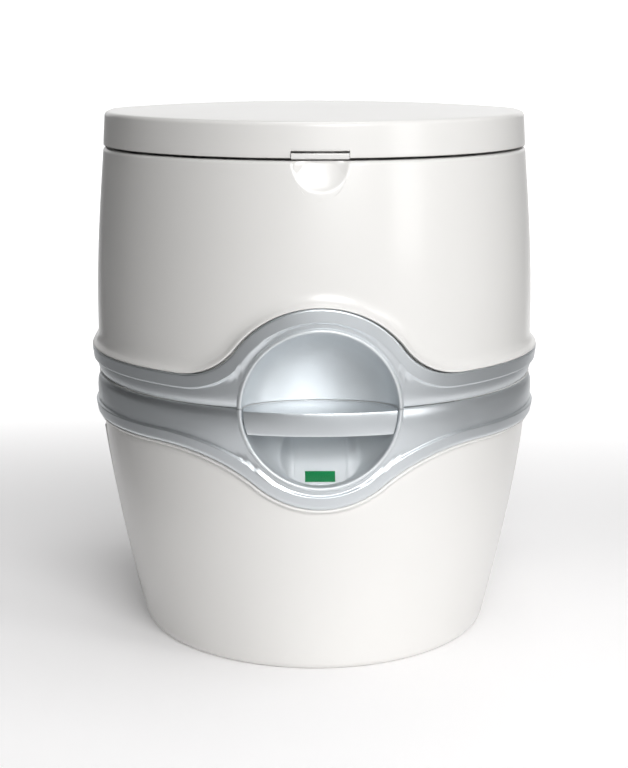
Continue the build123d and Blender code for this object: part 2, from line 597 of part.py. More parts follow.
# ---------------------------------------------------------------- piston pump
PUMP_BORE = 14.0
PISTON_LOW, PISTON_HIGH = 334.0, 345.0
with BuildPart() as pump_cylinder:
    add(rod(PUMP_X, DECK_PARTS_Y, (300, TOP_Z), 16))
    add(rod(PUMP_X, DECK_PARTS_Y, (303, TOP_Z + 1), PUMP_BORE), mode=Mode.SUBTRACT)
    add(rod(PUMP_X, DECK_PARTS_Y, (299, 304), 4), mode=Mode.SUBTRACT)
    add(rod(PUMP_X, (DECK_PARTS_Y - 24, DECK_PARTS_Y - 15.5), 320, 5, "y"))
    add(rod(PUMP_X, (DECK_PARTS_Y - 25, DECK_PARTS_Y - 13), 320, 3.5, "y"), mode=Mode.SUBTRACT)
save(pump_cylinder.part, "pump_cylinder")

with BuildPart() as pump_collar:
    add(rod(PUMP_X, DECK_PARTS_Y, (TOP_Z, TOP_Z + 2.5), 24))
    chamfer(pump_collar.edges().group_by(Axis.Z)[-1], 1)
    add(rod(PUMP_X, DECK_PARTS_Y, (TOP_Z - 8, TOP_Z), PUMP_BORE - 0.1))
    add(rod(PUMP_X, DECK_PARTS_Y, (TOP_Z - 9, TOP_Z + 3), 4.06), mode=Mode.SUBTRACT)
save(pump_collar.part, "pump_collar")

with BuildPart() as pump_strainer:
    add(rod(PUMP_X, DECK_PARTS_Y, (288, 300), 9))
    add(rod(PUMP_X, DECK_PARTS_Y, (290, 301), 7.5), mode=Mode.SUBTRACT)
    with BuildSketch(Plane.XY.offset(287).move(Location((PUMP_X, DECK_PARTS_Y, 0)))):
        with PolarLocations(4.5, 6):
            Circle(1.2)
    extrude(amount=4, mode=Mode.SUBTRACT)
save(pump_strainer.part, "pump_strainer")

with BuildPart() as pump_piston:
    add(rod(PUMP_X, DECK_PARTS_Y, (PISTON_LOW, PISTON_HIGH), PUMP_BORE - 0.3))
    groove = (PISTON_LOW + 3.5, PISTON_HIGH - 3.5)
    with BuildPart(mode=Mode.PRIVATE) as piston_groove:
        add(rod(PUMP_X, DECK_PARTS_Y, groove, PUMP_BORE))
        add(rod(PUMP_X, DECK_PARTS_Y, groove, PUMP_BORE - 2.2), mode=Mode.SUBTRACT)
    add(piston_groove.part, mode=Mode.SUBTRACT)
save(pump_piston.part, "pump_piston")

with BuildPart() as piston_seal:
    add(rod(PUMP_X, DECK_PARTS_Y, (PISTON_LOW + 3.6, PISTON_HIGH - 3.6), PUMP_BORE - 0.05))
    add(rod(PUMP_X, DECK_PARTS_Y, (PISTON_LOW, PISTON_HIGH), PUMP_BORE - 2.15), mode=Mode.SUBTRACT)
save(piston_seal.part, "piston_seal")

with BuildPart() as pump_rod:
    add(rod(PUMP_X, DECK_PARTS_Y, (PISTON_HIGH, TOP_Z + 4), 4.0))
save(pump_rod.part, "pump_rod")

with BuildPart() as pump_knob:
    add(rod(PUMP_X, DECK_PARTS_Y, (TOP_Z + 4, TOP_Z + 14), 22))
    fillet(pump_knob.edges().group_by(Axis.Z)[-1], 4)
    fillet(pump_knob.edges().group_by(Axis.Z)[0], 2)
save(pump_knob.part, "pump_knob")

NOZZLE_X, NOZZLE_Z = -45.0, 386.0
with BuildPart() as rim_nozzle:
    add(rod(NOZZLE_X, (60, 110), NOZZLE_Z, 7.0, "y"))
    add(rod(NOZZLE_X, (60, 64), NOZZLE_Z, 10.0, "y"))
    add(rod(NOZZLE_X, (62, 111), NOZZLE_Z, 4.0, "y"), mode=Mode.SUBTRACT)
    add(block((NOZZLE_X - 8, NOZZLE_X + 8), (59, 63), (NOZZLE_Z - 1.5, NOZZLE_Z + 1.5)), mode=Mode.SUBTRACT)
save(rim_nozzle.part, "rim_nozzle")

HOSE_R = 4.5
hose_points = [
    (PUMP_X, DECK_PARTS_Y - 24.1, 320),
    (PUMP_X, DECK_PARTS_Y - 46, 320),
    (PUMP_X + 14, DECK_PARTS_Y - 56, 352),
    (NOZZLE_X - 8, DECK_PARTS_Y - 58, 380),
    (NOZZLE_X, 124, NOZZLE_Z),
    (NOZZLE_X, 110.1, NOZZLE_Z),
]
with BuildPart() as flush_hose:
    with BuildLine() as hose_path:
        FilletPolyline(*hose_points, radius=[14, 18, 18, 6])
    with BuildSketch(Plane(origin=hose_points[0], z_dir=(0, -1, 0))):
        Circle(HOSE_R)
        Circle(HOSE_R - 1.5, mode=Mode.SUBTRACT)
    sweep(path=hose_path.line)
save(flush_hose.part, "flush_hose")

# ---------------------------------------------------------------- filler
with BuildPart() as fill_neck:
    add(rod(FILL_X, DECK_PARTS_Y, (394, TOP_Z + 7), 21))
    add(rod(FILL_X, DECK_PARTS_Y, (TOP_Z, TOP_Z + 2), 25))
    add(rod(FILL_X, DECK_PARTS_Y, (393, TOP_Z + 8), 18), mode=Mode.SUBTRACT)
save(fill_neck.part, "fill_neck")

with BuildPart() as fill_cap:
    add(rod(FILL_X, DECK_PARTS_Y, (TOP_Z + 2.5, TOP_Z + 13), 24.5))
    fillet(fill_cap.edges().group_by(Axis.Z)[-1], 2.5)
    with BuildSketch(Plane.XY.offset(TOP_Z + 2.5).move(Location((FILL_X, DECK_PARTS_Y, 0)))):
        with PolarLocations(25.6, 16):
            Circle(2.2)
    extrude(amount=8, mode=Mode.SUBTRACT)
    add(rod(FILL_X, DECK_PARTS_Y, (TOP_Z + 2, TOP_Z + 9.5), 21.4), mode=Mode.SUBTRACT)
save(fill_cap.part, "fill_cap")

with BuildPart() as fill_cap_seal:
    add(rod(FILL_X, DECK_PARTS_Y, (TOP_Z + 7.1, TOP_Z + 9.5), 21.2))
    add(rod(FILL_X, DECK_PARTS_Y, (TOP_Z + 7, TOP_Z + 10), 18), mode=Mode.SUBTRACT)
save(fill_cap_seal.part, "fill_cap_seal")

# ---------------------------------------------------------------- fresh water sight tube
SIGHT_Y, SIGHT_LOW, SIGHT_HIGH = 216.0, 262.0, 378.0
with BuildPart() as sight_tube:
    add(rod(0, SIGHT_Y, (SIGHT_LOW, SIGHT_HIGH), 5))
    add(rod(0, SIGHT_Y, (SIGHT_LOW - 1, SIGHT_HIGH + 1), 3.8), mode=Mode.SUBTRACT)
save(sight_tube.part, "sight_tube")

with BuildPart() as sight_tube_ends:
    for low, high in ((SIGHT_LOW - 6, SIGHT_LOW), (SIGHT_HIGH, SIGHT_HIGH + 6)):
        add(block((-5.4, 5.4), (SIGHT_Y - 10, SIGHT_Y + 5), (low, high)))
save(sight_tube_ends.part, "sight_tube_ends")

with BuildPart() as sight_float:
    with Locations((0, SIGHT_Y, SIGHT_LOW + 3.6)):
        Sphere(3.5)
save(sight_float.part, "sight_float")

# ---------------------------------------------------------------- hinges
BRACKET_IN, BRACKET_OUT = 58.0, 92.0
SEAT_EAR, LID_EAR = (65.0, 72.0), (78.0, 85.0)


def hinge_ear(x_low, x_high, reach_y, reach_z, radius):
    """A plate round the hinge axis with an arm from the axis to the given point."""
    with BuildPart() as ear:
        add(rod((x_low, x_high), HINGE_Y, HINGE_Z, radius, "x"))
        low_y, high_y = sorted((reach_y, HINGE_Y))
        low_z, high_z = sorted((reach_z, HINGE_Z))
        if reach_y == HINGE_Y:
            low_y, high_y = HINGE_Y - radius, HINGE_Y + radius
        if reach_z == HINGE_Z:
            low_z, high_z = HINGE_Z - radius, HINGE_Z + radius
        add(block((x_low, x_high), (low_y, high_y), (low_z, high_z)))
    return ear.part


hinge_hole = rod((-100, 100), HINGE_Y, HINGE_Z, HINGE_R + HINGE_PLAY, "x")

with BuildPart() as hinge_plates:
    for side in (-1, 1):
        base = sorted((side * (BRACKET_IN - 3), side * (BRACKET_OUT + 3)))
        add(block(base, (124, 150), (TOP_Z, TOP_Z + PLATE_T)))
save(hinge_plates.part, "hinge_plates")

with BuildPart() as hinge_brackets:
    for side in (-1, 1):
        for near, far in ((BRACKET_IN, BRACKET_IN + 6), (BRACKET_OUT - 6, BRACKET_OUT)):
            ear = sorted((side * near, side * far))
            add(hinge_ear(ear[0], ear[1], HINGE_Y, TOP_Z + PLATE_T, 6.0))
    add(hinge_hole, mode=Mode.SUBTRACT)
save(hinge_brackets.part, "hinge_brackets")

# the pins are pressed into the seat's ears and turn with it
with BuildPart() as hinge_pins:
    for side in (-1, 1):
        ends = sorted((side * BRACKET_IN, side * BRACKET_OUT))
        add(rod(ends, HINGE_Y, HINGE_Z, HINGE_R, "x"))
save(hinge_pins.part, "hinge_pins")

# ---------------------------------------------------------------- seat
SEAT_LOW, SEAT_TOP = 414.0, 432.0
SEAT_HALF, SEAT_FRONT, SEAT_REAR = 170.0, 187.0, 135.0
HOLE_HALF_X, HOLE_HALF_Y = 104.0, 128.0


def seat_ring(inset, low, high):
    """The seat's ring between two heights, its outer and inner edges pulled in by inset."""
    with BuildPart() as ring:
        add(oval_section(low, SEAT_HALF - inset, SEAT_FRONT - inset, SEAT_REAR - inset))
        extrude(amount=high - low)
        with BuildSketch(Plane.XY.offset(low)):
            with Locations((0, BOWL_Y)):
                Ellipse(HOLE_HALF_X + inset, HOLE_HALF_Y + inset)
        extrude(amount=high - low, mode=Mode.SUBTRACT)
    return ring.part


with BuildPart() as seat:
    add(seat_ring(0, SEAT_LOW, SEAT_TOP))
    fillet(seat.edges().group_by(Axis.Z)[-1], 6)
    add(seat_ring(4, SEAT_LOW - 1, SEAT_TOP - 4), mode=Mode.SUBTRACT)
    for side in (-1, 1):
        ear = sorted((side * SEAT_EAR[0], side * SEAT_EAR[1]))
        add(hinge_ear(ear[0], ear[1], 108, HINGE_Z, 6.5))
    add(rod((-100, 100), HINGE_Y, HINGE_Z, HINGE_R, "x"), mode=Mode.SUBTRACT)
save(seat.part, "seat")

with BuildPart() as seat_buffers:
    for x, y in ((-105, -130), (105, -130), (-135, 40), (135, 40)):
        add(rod(x, y, (TOP_Z + 0.3, SEAT_TOP - 4), 6))
save(seat_buffers.part, "seat_buffers")

# ---------------------------------------------------------------- lid
LID_LEVELS = [(LID_LOW, 181.6, 199.0, 150.0, 110.0), (LID_TOP + 2, 179.4, 196.6, 147.6, 107.6)]


def lid_crown(inset):
    """The ball whose top is the lid's crowned face."""
    with BuildPart() as ball:
        with Locations((0, AXIS_Y - 15, LID_TOP - LID_CROWN_R)):
            Sphere(LID_CROWN_R - inset)
    return ball.part


def lid_body(inset, low):
    """The lid's solid form: slightly tapered sides under a crowned top."""
    with BuildPart() as body:
        add(hull_body(LID_LEVELS, inset, low=low))
        add(lid_crown(inset), mode=Mode.INTERSECT)
    return body.part


LATCH_PIVOT_Y, LATCH_PIVOT_Z = -199.5, 435.0
LID_REAR_LOW = 426.0  # the rear wall stops short, so that it clears the seat when the lid opens
with BuildPart() as lid:
    add(lid_body(0, LID_LOW))
    crown_edge = lid.edges().filter_by(GeomType.BSPLINE).sort_by(Axis.Z)[-3:]
    fillet(crown_edge, 4)
    add(lid_body(WALL, LID_LOW - 1), mode=Mode.SUBTRACT)
    # room for the hinges at the rear, and the notch that the latch fills in front
    add(block((-200, 200), (100, 200), (LID_LOW - 1, LID_REAR_LOW)), mode=Mode.SUBTRACT)
    with BuildPart(mode=Mode.PRIVATE) as hinge_gaps:
        for side in (-1, 1):
            gap = sorted((side * (BRACKET_IN - 2), side * (BRACKET_OUT + 2)))
            add(block(gap, (HINGE_Y + 3, 200), (LID_LOW - 1, LID_TOP)))
        add(lid_crown(WALL), mode=Mode.INTERSECT)
    add(hinge_gaps.part, mode=Mode.SUBTRACT)
    for side in (-1, 1):
        latch_ear = sorted((side * 12.3, side * 15.3))
        add(block(latch_ear, (-203.5, LATCH_PIVOT_Y + 3.5), (LATCH_PIVOT_Z - 3.5, LID_TOP - WALL - 2)))
    add(block((-23, 23), (-230, -180), (LID_LOW - 1, 418.9)), mode=Mode.SUBTRACT)
    add(rod((-16, 16), LATCH_PIVOT_Y, LATCH_PIVOT_Z, 2 + HINGE_PLAY, "x"), mode=Mode.SUBTRACT)
save(lid.part, "lid")

with BuildPart() as lid_hinge_arms:
    for side in (-1, 1):
        arm = sorted((side * LID_EAR[0], side * LID_EAR[1]))
        add(hinge_ear(arm[0], arm[1], HINGE_Y, LID_TOP, 7.0))
        foot = sorted((side * (LID_EAR[0] - 4), side * LID_EAR[1]))
        add(block(foot, (HINGE_Y - 11, HINGE_Y + 9), (HINGE_Z + 5, LID_TOP)))
    add(lid_body(WALL + 0.02, LID_LOW), mode=Mode.INTERSECT)
    add(hinge_hole, mode=Mode.SUBTRACT)
save(lid_hinge_arms.part, "lid_hinge_arms")

with BuildPart() as lid_latch:
    add(block((-22.5, 22.5), (-207.6, -201.6), (412.8, 417.4)))
    fillet(lid_latch.edges().filter_by(Axis.X), 1.2)
    add(block((-12, 12), (-203.0, -198.5), (413.4, 416.6)))
    add(block((-12, 12), (-200.3, -198.7), (413.4, LATCH_PIVOT_Z)))
    add(rod((-15.3, 15.3), LATCH_PIVOT_Y, LATCH_PIVOT_Z, 2.0, "x"))
save(lid_latch.part, "lid_latch")

with BuildPart() as lid_buffers:
    for x, y in ((-150, -60), (150, -60), (-60, -166), (60, -166)):
        add(rod(x, y, (SEAT_TOP + 0.2, LID_TOP), 5))
    add(lid_body(WALL + 0.02, LID_LOW), mode=Mode.INTERSECT)
save(lid_buffers.part, "lid_buffers")
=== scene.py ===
"""Looks of the portable cassette toilet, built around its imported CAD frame."""

import json
import math

import bmesh
import bpy
import numpy as np
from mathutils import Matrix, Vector


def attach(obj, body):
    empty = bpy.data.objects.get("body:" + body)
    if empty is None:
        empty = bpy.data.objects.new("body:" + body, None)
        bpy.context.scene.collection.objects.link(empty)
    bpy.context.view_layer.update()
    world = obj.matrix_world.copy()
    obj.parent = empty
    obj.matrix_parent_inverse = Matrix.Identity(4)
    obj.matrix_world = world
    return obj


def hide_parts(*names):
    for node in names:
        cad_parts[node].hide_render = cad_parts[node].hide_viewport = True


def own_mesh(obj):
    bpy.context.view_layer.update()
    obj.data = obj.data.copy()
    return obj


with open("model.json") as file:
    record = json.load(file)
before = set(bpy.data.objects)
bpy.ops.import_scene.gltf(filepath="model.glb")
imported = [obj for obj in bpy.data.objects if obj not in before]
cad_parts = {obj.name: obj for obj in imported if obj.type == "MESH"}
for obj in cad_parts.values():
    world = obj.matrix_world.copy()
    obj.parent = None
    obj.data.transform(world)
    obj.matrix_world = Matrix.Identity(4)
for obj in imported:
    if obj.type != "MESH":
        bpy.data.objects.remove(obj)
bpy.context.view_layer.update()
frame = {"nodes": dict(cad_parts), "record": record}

MM = 0.001
nodes = frame["nodes"]

# ------------------------------------------------------------------ dimensions, in millimetres
PARTING = 218.0
SEAM = 0.3
AXIS_Y = -8.0
RECESS_R, RECESS_SIDE_Y, RECESS_BACK_Y = 61.5, -208.0, -172.0
BAND_R = 81.0
RING_OUT = 65.2
DECK_Z = 411.5
LID_LOW = 413.5
LATCH_SLOT = (62.0, 98.0)
LATCH_SLOT_LOW, LATCH_SLOT_TOP = 168.0, 246.0
SIGHT_HALF, SIGHT_LOW, SIGHT_TOP = 5.6, 256.0, 384.0
# the inner edge of a hole in a casing lies this share of the way out from the middle
WALL_SHARE = np.array([0.965, 0.965, 1.0])

# levels: height, half width, reach in front of AXIS_Y, rear face, rear corner radius
WASTE = [
    (0, 148.3, 189.5, 188, 70), (60, 163, 196, 199, 74), (120, 175.6, 202, 209, 78),
    (183, 184.7, 206.5, 216, 80), (217.7, 187, 210, 219, 82),
]
FLUSH = [
    (218.3, 188, 211, 219, 82), (300, 188.3, 210, 218.5, 82), (350, 186, 207, 217, 80),
    (411.5, 181.5, 200, 214, 80),
]
LOWER_RIM = [
    (130, 181.6, 206.8, 213, 82), (160, 186, 210.2, 217.6, 84), (183, 189.4, 212.8, 221.2, 84),
    (196, 191.6, 214.8, 223, 84), (207, 192.2, 216, 223.8, 84), (218, 191.6, 216.6, 223.8, 84),
]
UPPER_RIM = [
    (218, 190.6, 216.6, 222.6, 84), (230, 192.4, 216.9, 224, 84), (242, 194, 217, 225, 84),
    (270, 193.8, 216.3, 224.6, 84), (305, 192.8, 215.4, 224, 84),
]


class Hull:
    """The plan section of a casing as a smooth function of height.

    q runs round the section: 0-1 the front half ellipse from left to right, 1-2 the right side,
    2-3 the right rear corner, 3-4 the rear, 4-5 the left rear corner, 5-6 the left side.
    """

    def __init__(self, levels):
        table = np.array(levels, float)
        self.z = table[:, 0]
        self.values = table[:, 1:]
        self.bend = self._natural_spline()

    def _natural_spline(self):
        z, y = self.z, self.values
        n = len(z)
        gap = np.diff(z)
        system = np.eye(n)
        right = np.zeros_like(y)
        for i in range(1, n - 1):
            system[i, i - 1] = gap[i - 1]
            system[i, i] = 2 * (gap[i - 1] + gap[i])
            system[i, i + 1] = gap[i]
            right[i] = 6 * ((y[i + 1] - y[i]) / gap[i] - (y[i] - y[i - 1]) / gap[i - 1])
        return np.linalg.solve(system, right)

    def at(self, z):
        z = np.clip(np.asarray(z, float), self.z[0] - 20, self.z[-1] + 20)
        i = np.clip(np.searchsorted(self.z, z) - 1, 0, len(self.z) - 2)
        h = (self.z[i + 1] - self.z[i])[..., None]
        low, high = (z - self.z[i])[..., None], (self.z[i + 1] - z)[..., None]
        y0, y1, m0, m1 = self.values[i], self.values[i + 1], self.bend[i], self.bend[i + 1]
        value = (m0 * high**3 + m1 * low**3) / (6 * h)
        value += (y0 / h - m0 * h / 6) * high + (y1 / h - m1 * h / 6) * low
        return value[..., 0], value[..., 1], value[..., 2], value[..., 3]

    def point(self, q, z, out=0.0):
        """Points on the section, moved outwards by out along the plan's normal."""
        q, z, out = np.broadcast_arrays(np.asarray(q, float), np.asarray(z, float), np.asarray(out, float))
        w, a, b, r = self.at(z)
        x, y = np.zeros_like(z), np.zeros_like(z)
        nx, ny = np.zeros_like(z), np.zeros_like(z)
        turn = np.pi * (1 + np.clip(q, 0, 1))
        m = q <= 1
        x[m], y[m] = (w * np.cos(turn))[m], (AXIS_Y + a * np.sin(turn))[m]
        ex, ey = np.cos(turn) / w, np.sin(turn) / a
        length = np.hypot(ex, ey)
        nx[m], ny[m] = (ex / length)[m], (ey / length)[m]
        m = (q > 1) & (q <= 2)
        x[m], y[m] = w[m], (AXIS_Y + (q - 1) * (b - r - AXIS_Y))[m]
        nx[m] = 1
        for start, sign in ((2, 1), (4, -1)):
            m = (q > start) & (q <= start + 1)
            f = (q - start) * np.pi / 2
            cx, cy = (np.cos(f), np.sin(f)) if sign > 0 else (-np.sin(f), np.cos(f))
            x[m], y[m] = (sign * (w - r) + r * cx)[m], (b - r + r * cy)[m]
            nx[m], ny[m] = cx[m], cy[m]
        m = (q > 3) & (q <= 4)
        x[m], y[m] = ((w - r) * (1 - 2 * (q - 3)))[m], b[m]
        ny[m] = 1
        m = q > 5
        x[m], y[m] = -w[m], (AXIS_Y + (6 - q) * (b - r - AXIS_Y))[m]
        nx[m] = -1
        return np.stack([x + nx * out, y + ny * out, z], -1)

    def q_of_x(self, x, z):
        w = self.at(z)[0]
        return np.arccos(np.clip(-x / w, -1, 1)) / np.pi

    def distance(self, p):
        """How far points lie outside the hull (negative inside), near enough for sorting faces."""
        x, y, z = np.abs(p[:, 0]), p[:, 1], p[:, 2]
        w, a, b, r = self.at(z)
        e = np.sqrt((x / w) ** 2 + ((y - AXIS_Y) / a) ** 2)
        front = (e - 1) * np.hypot(x, y - AXIS_Y) / np.maximum(e, 1e-6)
        corner = np.hypot(np.maximum(x - w + r, 0), np.maximum(y - b + r, 0)) - r
        rear = np.where((x > w - r) & (y > b - r), corner, np.maximum(x - w, y - b))
        return np.where(y < AXIS_Y, front, rear)


waste, flush = Hull(WASTE), Hull(FLUSH)
lower_rim, upper_rim = Hull(LOWER_RIM), Hull(UPPER_RIM)


class Outline:
    """Front view of one band's outer edge: a straight strip, a shoulder, and a part of a circle.

    Heights are counted from the parting plane, away from it.
    """

    def __init__(self, band, shoulder):
        self.band, self.shoulder = band, shoulder
        self.centre_z = band + shoulder
        self.spread = math.sqrt((BAND_R + shoulder) ** 2 - self.centre_z**2)
        self.lean = math.atan2(self.centre_z, self.spread)

    def height(self, x):
        """The outline's height at x."""
        x = np.abs(x)
        knee = self.spread * BAND_R / (BAND_R + self.shoulder)
        on_ball = np.sqrt(np.maximum(BAND_R**2 - x**2, 0))
        dip = np.sqrt(np.maximum(self.shoulder**2 - (self.spread - x) ** 2, 0))
        return np.where(x < knee, on_ball, np.where(x < self.spread, self.centre_z - dip, self.band))

    def distance(self, x, h):
        """Signed distance to the outline, positive on the casing's side."""
        x = np.abs(x)
        ball = np.hypot(x, h) - BAND_R
        dent = self.shoulder - np.hypot(x - self.spread, h - self.centre_z)
        turned = np.arctan2(h, np.maximum(x, 1e-6)) > self.lean
        near = np.where(turned, ball, dent)
        near = np.where(~turned & (h > self.centre_z), 40.0, near)
        return np.where(x >= self.spread, h - self.band, near)

    def pairs(self, count):
        """(x, h) of matching points on the inner and outer edges, from the spread to the middle."""
        share = np.linspace(0, 1, count)
        span = math.pi / 2 - self.lean
        along = share * span * (self.shoulder + BAND_R)
        on_dent = along <= span * self.shoulder
        angle = 1.5 * math.pi - along / self.shoulder
        ox = np.where(on_dent, self.spread + self.shoulder * np.cos(angle), 0)
        oz = np.where(on_dent, self.centre_z + self.shoulder * np.sin(angle), 0)
        angle = self.lean + (along - span * self.shoulder) / BAND_R
        ox = np.where(on_dent, ox, BAND_R * np.cos(angle))
        oz = np.where(on_dent, oz, BAND_R * np.sin(angle))
        straight = self.spread - RING_OUT
        run = share * (straight + RING_OUT * math.pi / 2)
        angle = (run - straight) / RING_OUT
        ix = np.where(run < straight, self.spread - run, RING_OUT * np.cos(angle))
        iz = np.where(run < straight, SEAM, np.maximum(RING_OUT * np.sin(angle), SEAM))
        return np.stack([ix, iz], 1), np.stack([ox, oz], 1)


upper_line, lower_line = Outline(24.0, 56.0), Outline(35.0, 131.0)


# ------------------------------------------------------------------ mesh helpers
TOP_DRAWN_IN = 3.2


def drop_loose(work):
    """Deletes the points that no face uses."""
    loose = [v for v in work.verts if not v.link_faces]
    bmesh.ops.delete(work, geom=loose, context="VERTS")


def piece(name, points, faces, body, material, replaced=()):
    """A mesh object from points in millimetres."""
    mesh = bpy.data.meshes.new(name)
    mesh.from_pydata([tuple(p) for p in np.asarray(points) * MM], [], faces)
    mesh.validate()
    mesh.update()
    work = bmesh.new()
    work.from_mesh(mesh)
    drop_loose(work)
    bmesh.ops.recalc_face_normals(work, faces=work.faces)
    work.to_mesh(mesh)
    work.free()
    mesh.shade_smooth()
    obj = bpy.data.objects.new(name, mesh)
    bpy.context.scene.collection.objects.link(obj)
    mesh.materials.append(material)
    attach(obj, body)
    if replaced:
        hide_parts(*replaced)
    return obj


def grid_faces(rows, cols, wrap=False, keep=None):
    """Quads of a rows by cols grid; keep[i, j] can drop some."""
    faces = []
    for i in range(rows - 1):
        for j in range(cols if wrap else cols - 1):
            k = (j + 1) % cols
            if keep is None or keep[i, j]:
                faces.append((i * cols + j, i * cols + k, (i + 1) * cols + k, (i + 1) * cols + j))
    return faces


def hole_walls(points, keep, depth_to):
    """Quads from the rim of each dropped region inwards, so a hole's edge has thickness.

    The inner points are numbered after the grid's own, and depth_to(point) places them.
    """
    rows, cols = points.shape[:2]
    start = rows * cols
    extra, faces, made = [], [], {}

    def inner(i, j):
        if (i, j) not in made:
            made[(i, j)] = start + len(extra)
            extra.append(depth_to(points[i, j]))
        return made[(i, j)]

    def kept(i, j):
        return 0 <= i < rows - 1 and keep[i, j % cols]

    for i in range(rows - 1):
        for j in range(cols):
            if keep[i, j]:
                continue
            k = (j + 1) % cols
            sides = (((i - 1, j), (i, j), (i, k)), ((i + 1, j), (i + 1, j), (i + 1, k)),
                     ((i, j - 1), (i, j), (i + 1, j)), ((i, j + 1), (i, k), (i + 1, k)))
            for near, one, two in sides:
                if kept(*near):
                    faces.append((one[0] * cols + one[1], two[0] * cols + two[1], inner(*two), inner(*one)))
    return extra, faces


def inner_copy(name, node, hull, body, material, reach, top=None, bottom=None):
    """The CAD casing's inside, floor, ledges and pocket walls, without its outer skin.

    reach is how deep the skin goes. A flat top keeps its face and is drawn in from the rounded edge.
    """
    mesh = nodes[node].data.copy()
    mesh.name = name
    work = bmesh.new()
    work.from_mesh(mesh)
    work.verts.ensure_lookup_table()
    co = np.array([tuple(v.co) for v in work.verts]) / MM
    out = hull.distance(co)
    skin = out > -reach
    doomed = []
    for f in work.faces:
        on_skin = all(skin[v.index] for v in f.verts)
        middle = f.calc_center_median().z / MM
        is_top = top is not None and abs(middle - top) < 0.2 and abs(f.normal.z) > 0.9
        is_bottom = bottom is not None and middle < bottom + 0.05
        if (on_skin and not is_top) or is_bottom:
            doomed.append(f)
    bmesh.ops.delete(work, geom=doomed, context="FACES")
    if top is not None:
        for v in work.verts:
            p = np.array([v.co / MM])
            far = hull.distance(p)[0]
            if abs(p[0, 2] - top) < 0.05 and far > -reach:
                back = AXIS_Y * MM - v.co.y
                towards = Vector((-v.co.x, min(0.0, back) if v.co.y > 0 else back, 0)).normalized()
                v.co += towards * (TOP_DRAWN_IN + far) * MM
    drop_loose(work)
    work.to_mesh(mesh)
    work.free()
    obj = bpy.data.objects.new(name, mesh)
    bpy.context.scene.collection.objects.link(obj)
    mesh.materials.clear()
    mesh.materials.append(material)
    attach(obj, body)
    return obj


def soft_step(t):
    """0 below 0, 1 above 1, eased in between."""
    t = np.clip(t, 0, 1)
    return t * t * (3 - 2 * t)


# ------------------------------------------------------------------ materials
def plastic(name, colour, rough, spread=0.03, grain=260.0, bump=0.02, metallic=0.0, coat=0.0, scuff=0.3):
    """Moulded plastic: slight tone drift, fine moulding grain, faint wiped marks in the gloss."""
    mat = bpy.data.materials.new(name)
    mat.use_nodes = True
    tree = mat.node_tree
    bsdf = tree.nodes["Principled BSDF"]
    bsdf.inputs["Metallic"].default_value = metallic
    bsdf.inputs["Coat Weight"].default_value = coat
    bsdf.inputs["Coat Roughness"].default_value = 0.12
    coords = tree.nodes.new("ShaderNodeTexCoord")

    def noise(scale, detail, distort=0.0):
        n = tree.nodes.new("ShaderNodeTexNoise")
        n.inputs["Scale"].default_value = scale
        n.inputs["Detail"].default_value = detail
        n.inputs["Distortion"].default_value = distort
        tree.links.new(coords.outputs["Object"], n.inputs["Vector"])
        return n

    drift = noise(7.0, 4.0)
    ramp = tree.nodes.new("ShaderNodeValToRGB")
    ramp.color_ramp.elements[0].position = 0.3
    ramp.color_ramp.elements[1].position = 0.7
    ramp.color_ramp.elements[0].color = (*[c * (1 - spread) for c in colour], 1)
    ramp.color_ramp.elements[1].color = (*[min(1.0, c * (1 + spread)) for c in colour], 1)
    tree.links.new(drift.outputs["Fac"], ramp.inputs["Fac"])
    tree.links.new(ramp.outputs["Color"], bsdf.inputs["Base Color"])

    wipe = noise(22.0, 6.0, 0.6)
    gloss = tree.nodes.new("ShaderNodeMapRange")
    gloss.inputs["From Min"].default_value = 0.3
    gloss.inputs["From Max"].default_value = 0.75
    gloss.inputs["To Min"].default_value = rough * (1 - scuff * 0.5)
    gloss.inputs["To Max"].default_value = rough * (1 + scuff)
    tree.links.new(wipe.outputs["Fac"], gloss.inputs["Value"])
    tree.links.new(gloss.outputs["Result"], bsdf.inputs["Roughness"])

    fine = noise(grain, 3.0)
    wave = noise(35.0, 2.0)
    sum_ = tree.nodes.new("ShaderNodeMath")
    sum_.operation = "MULTIPLY_ADD"
    sum_.inputs[1].default_value = 0.35
    tree.links.new(fine.outputs["Fac"], sum_.inputs[0])
    tree.links.new(wave.outputs["Fac"], sum_.inputs[2])
    relief = tree.nodes.new("ShaderNodeBump")
    relief.inputs["Strength"].default_value = bump
    relief.inputs["Distance"].default_value = 0.001
    tree.links.new(sum_.outputs["Value"], relief.inputs["Height"])
    tree.links.new(relief.outputs["Normal"], bsdf.inputs["Normal"])
    return mat


white = plastic("white_gloss_plastic", (0.80, 0.79, 0.77), 0.3, 0.012, 320, 0.05, coat=0.2, scuff=0.06)
grey = plastic("grey_satin_plastic", (0.72, 0.755, 0.78), 0.37, 0.03, 420, 0.10,
               metallic=0.86, coat=0.05, scuff=0.1)
# a copy of the band grey painted lighter, standing in for the light that falls into the recess and onto the
# level panel; it is also rougher and less metallic than the band grey
painted_lighter_recess_grey = plastic("recess_grey_painted_lighter_plastic", (0.76, 0.79, 0.81), 0.48, 0.03, 420, 0.10,
                      metallic=0.65, scuff=0.1)
dark = plastic("dark_moulded_plastic", (0.03, 0.032, 0.036), 0.5, 0.15, 300, 0.2)
rubber = plastic("black_seal_rubber", (0.018, 0.018, 0.019), 0.7, 0.2, 200, 0.3)
steel = plastic("bright_steel", (0.55, 0.55, 0.56), 0.25, 0.05, 500, 0.1, metallic=1.0)
green = plastic("green_roller_plastic", (0.06, 0.34, 0.10), 0.3, 0.08, 300, 0.05)
red = plastic("red_roller_plastic", (0.5, 0.03, 0.02), 0.3, 0.08, 300, 0.05)
foam = plastic("float_foam", (0.55, 0.52, 0.44), 0.8, 0.08, 500, 0.5)


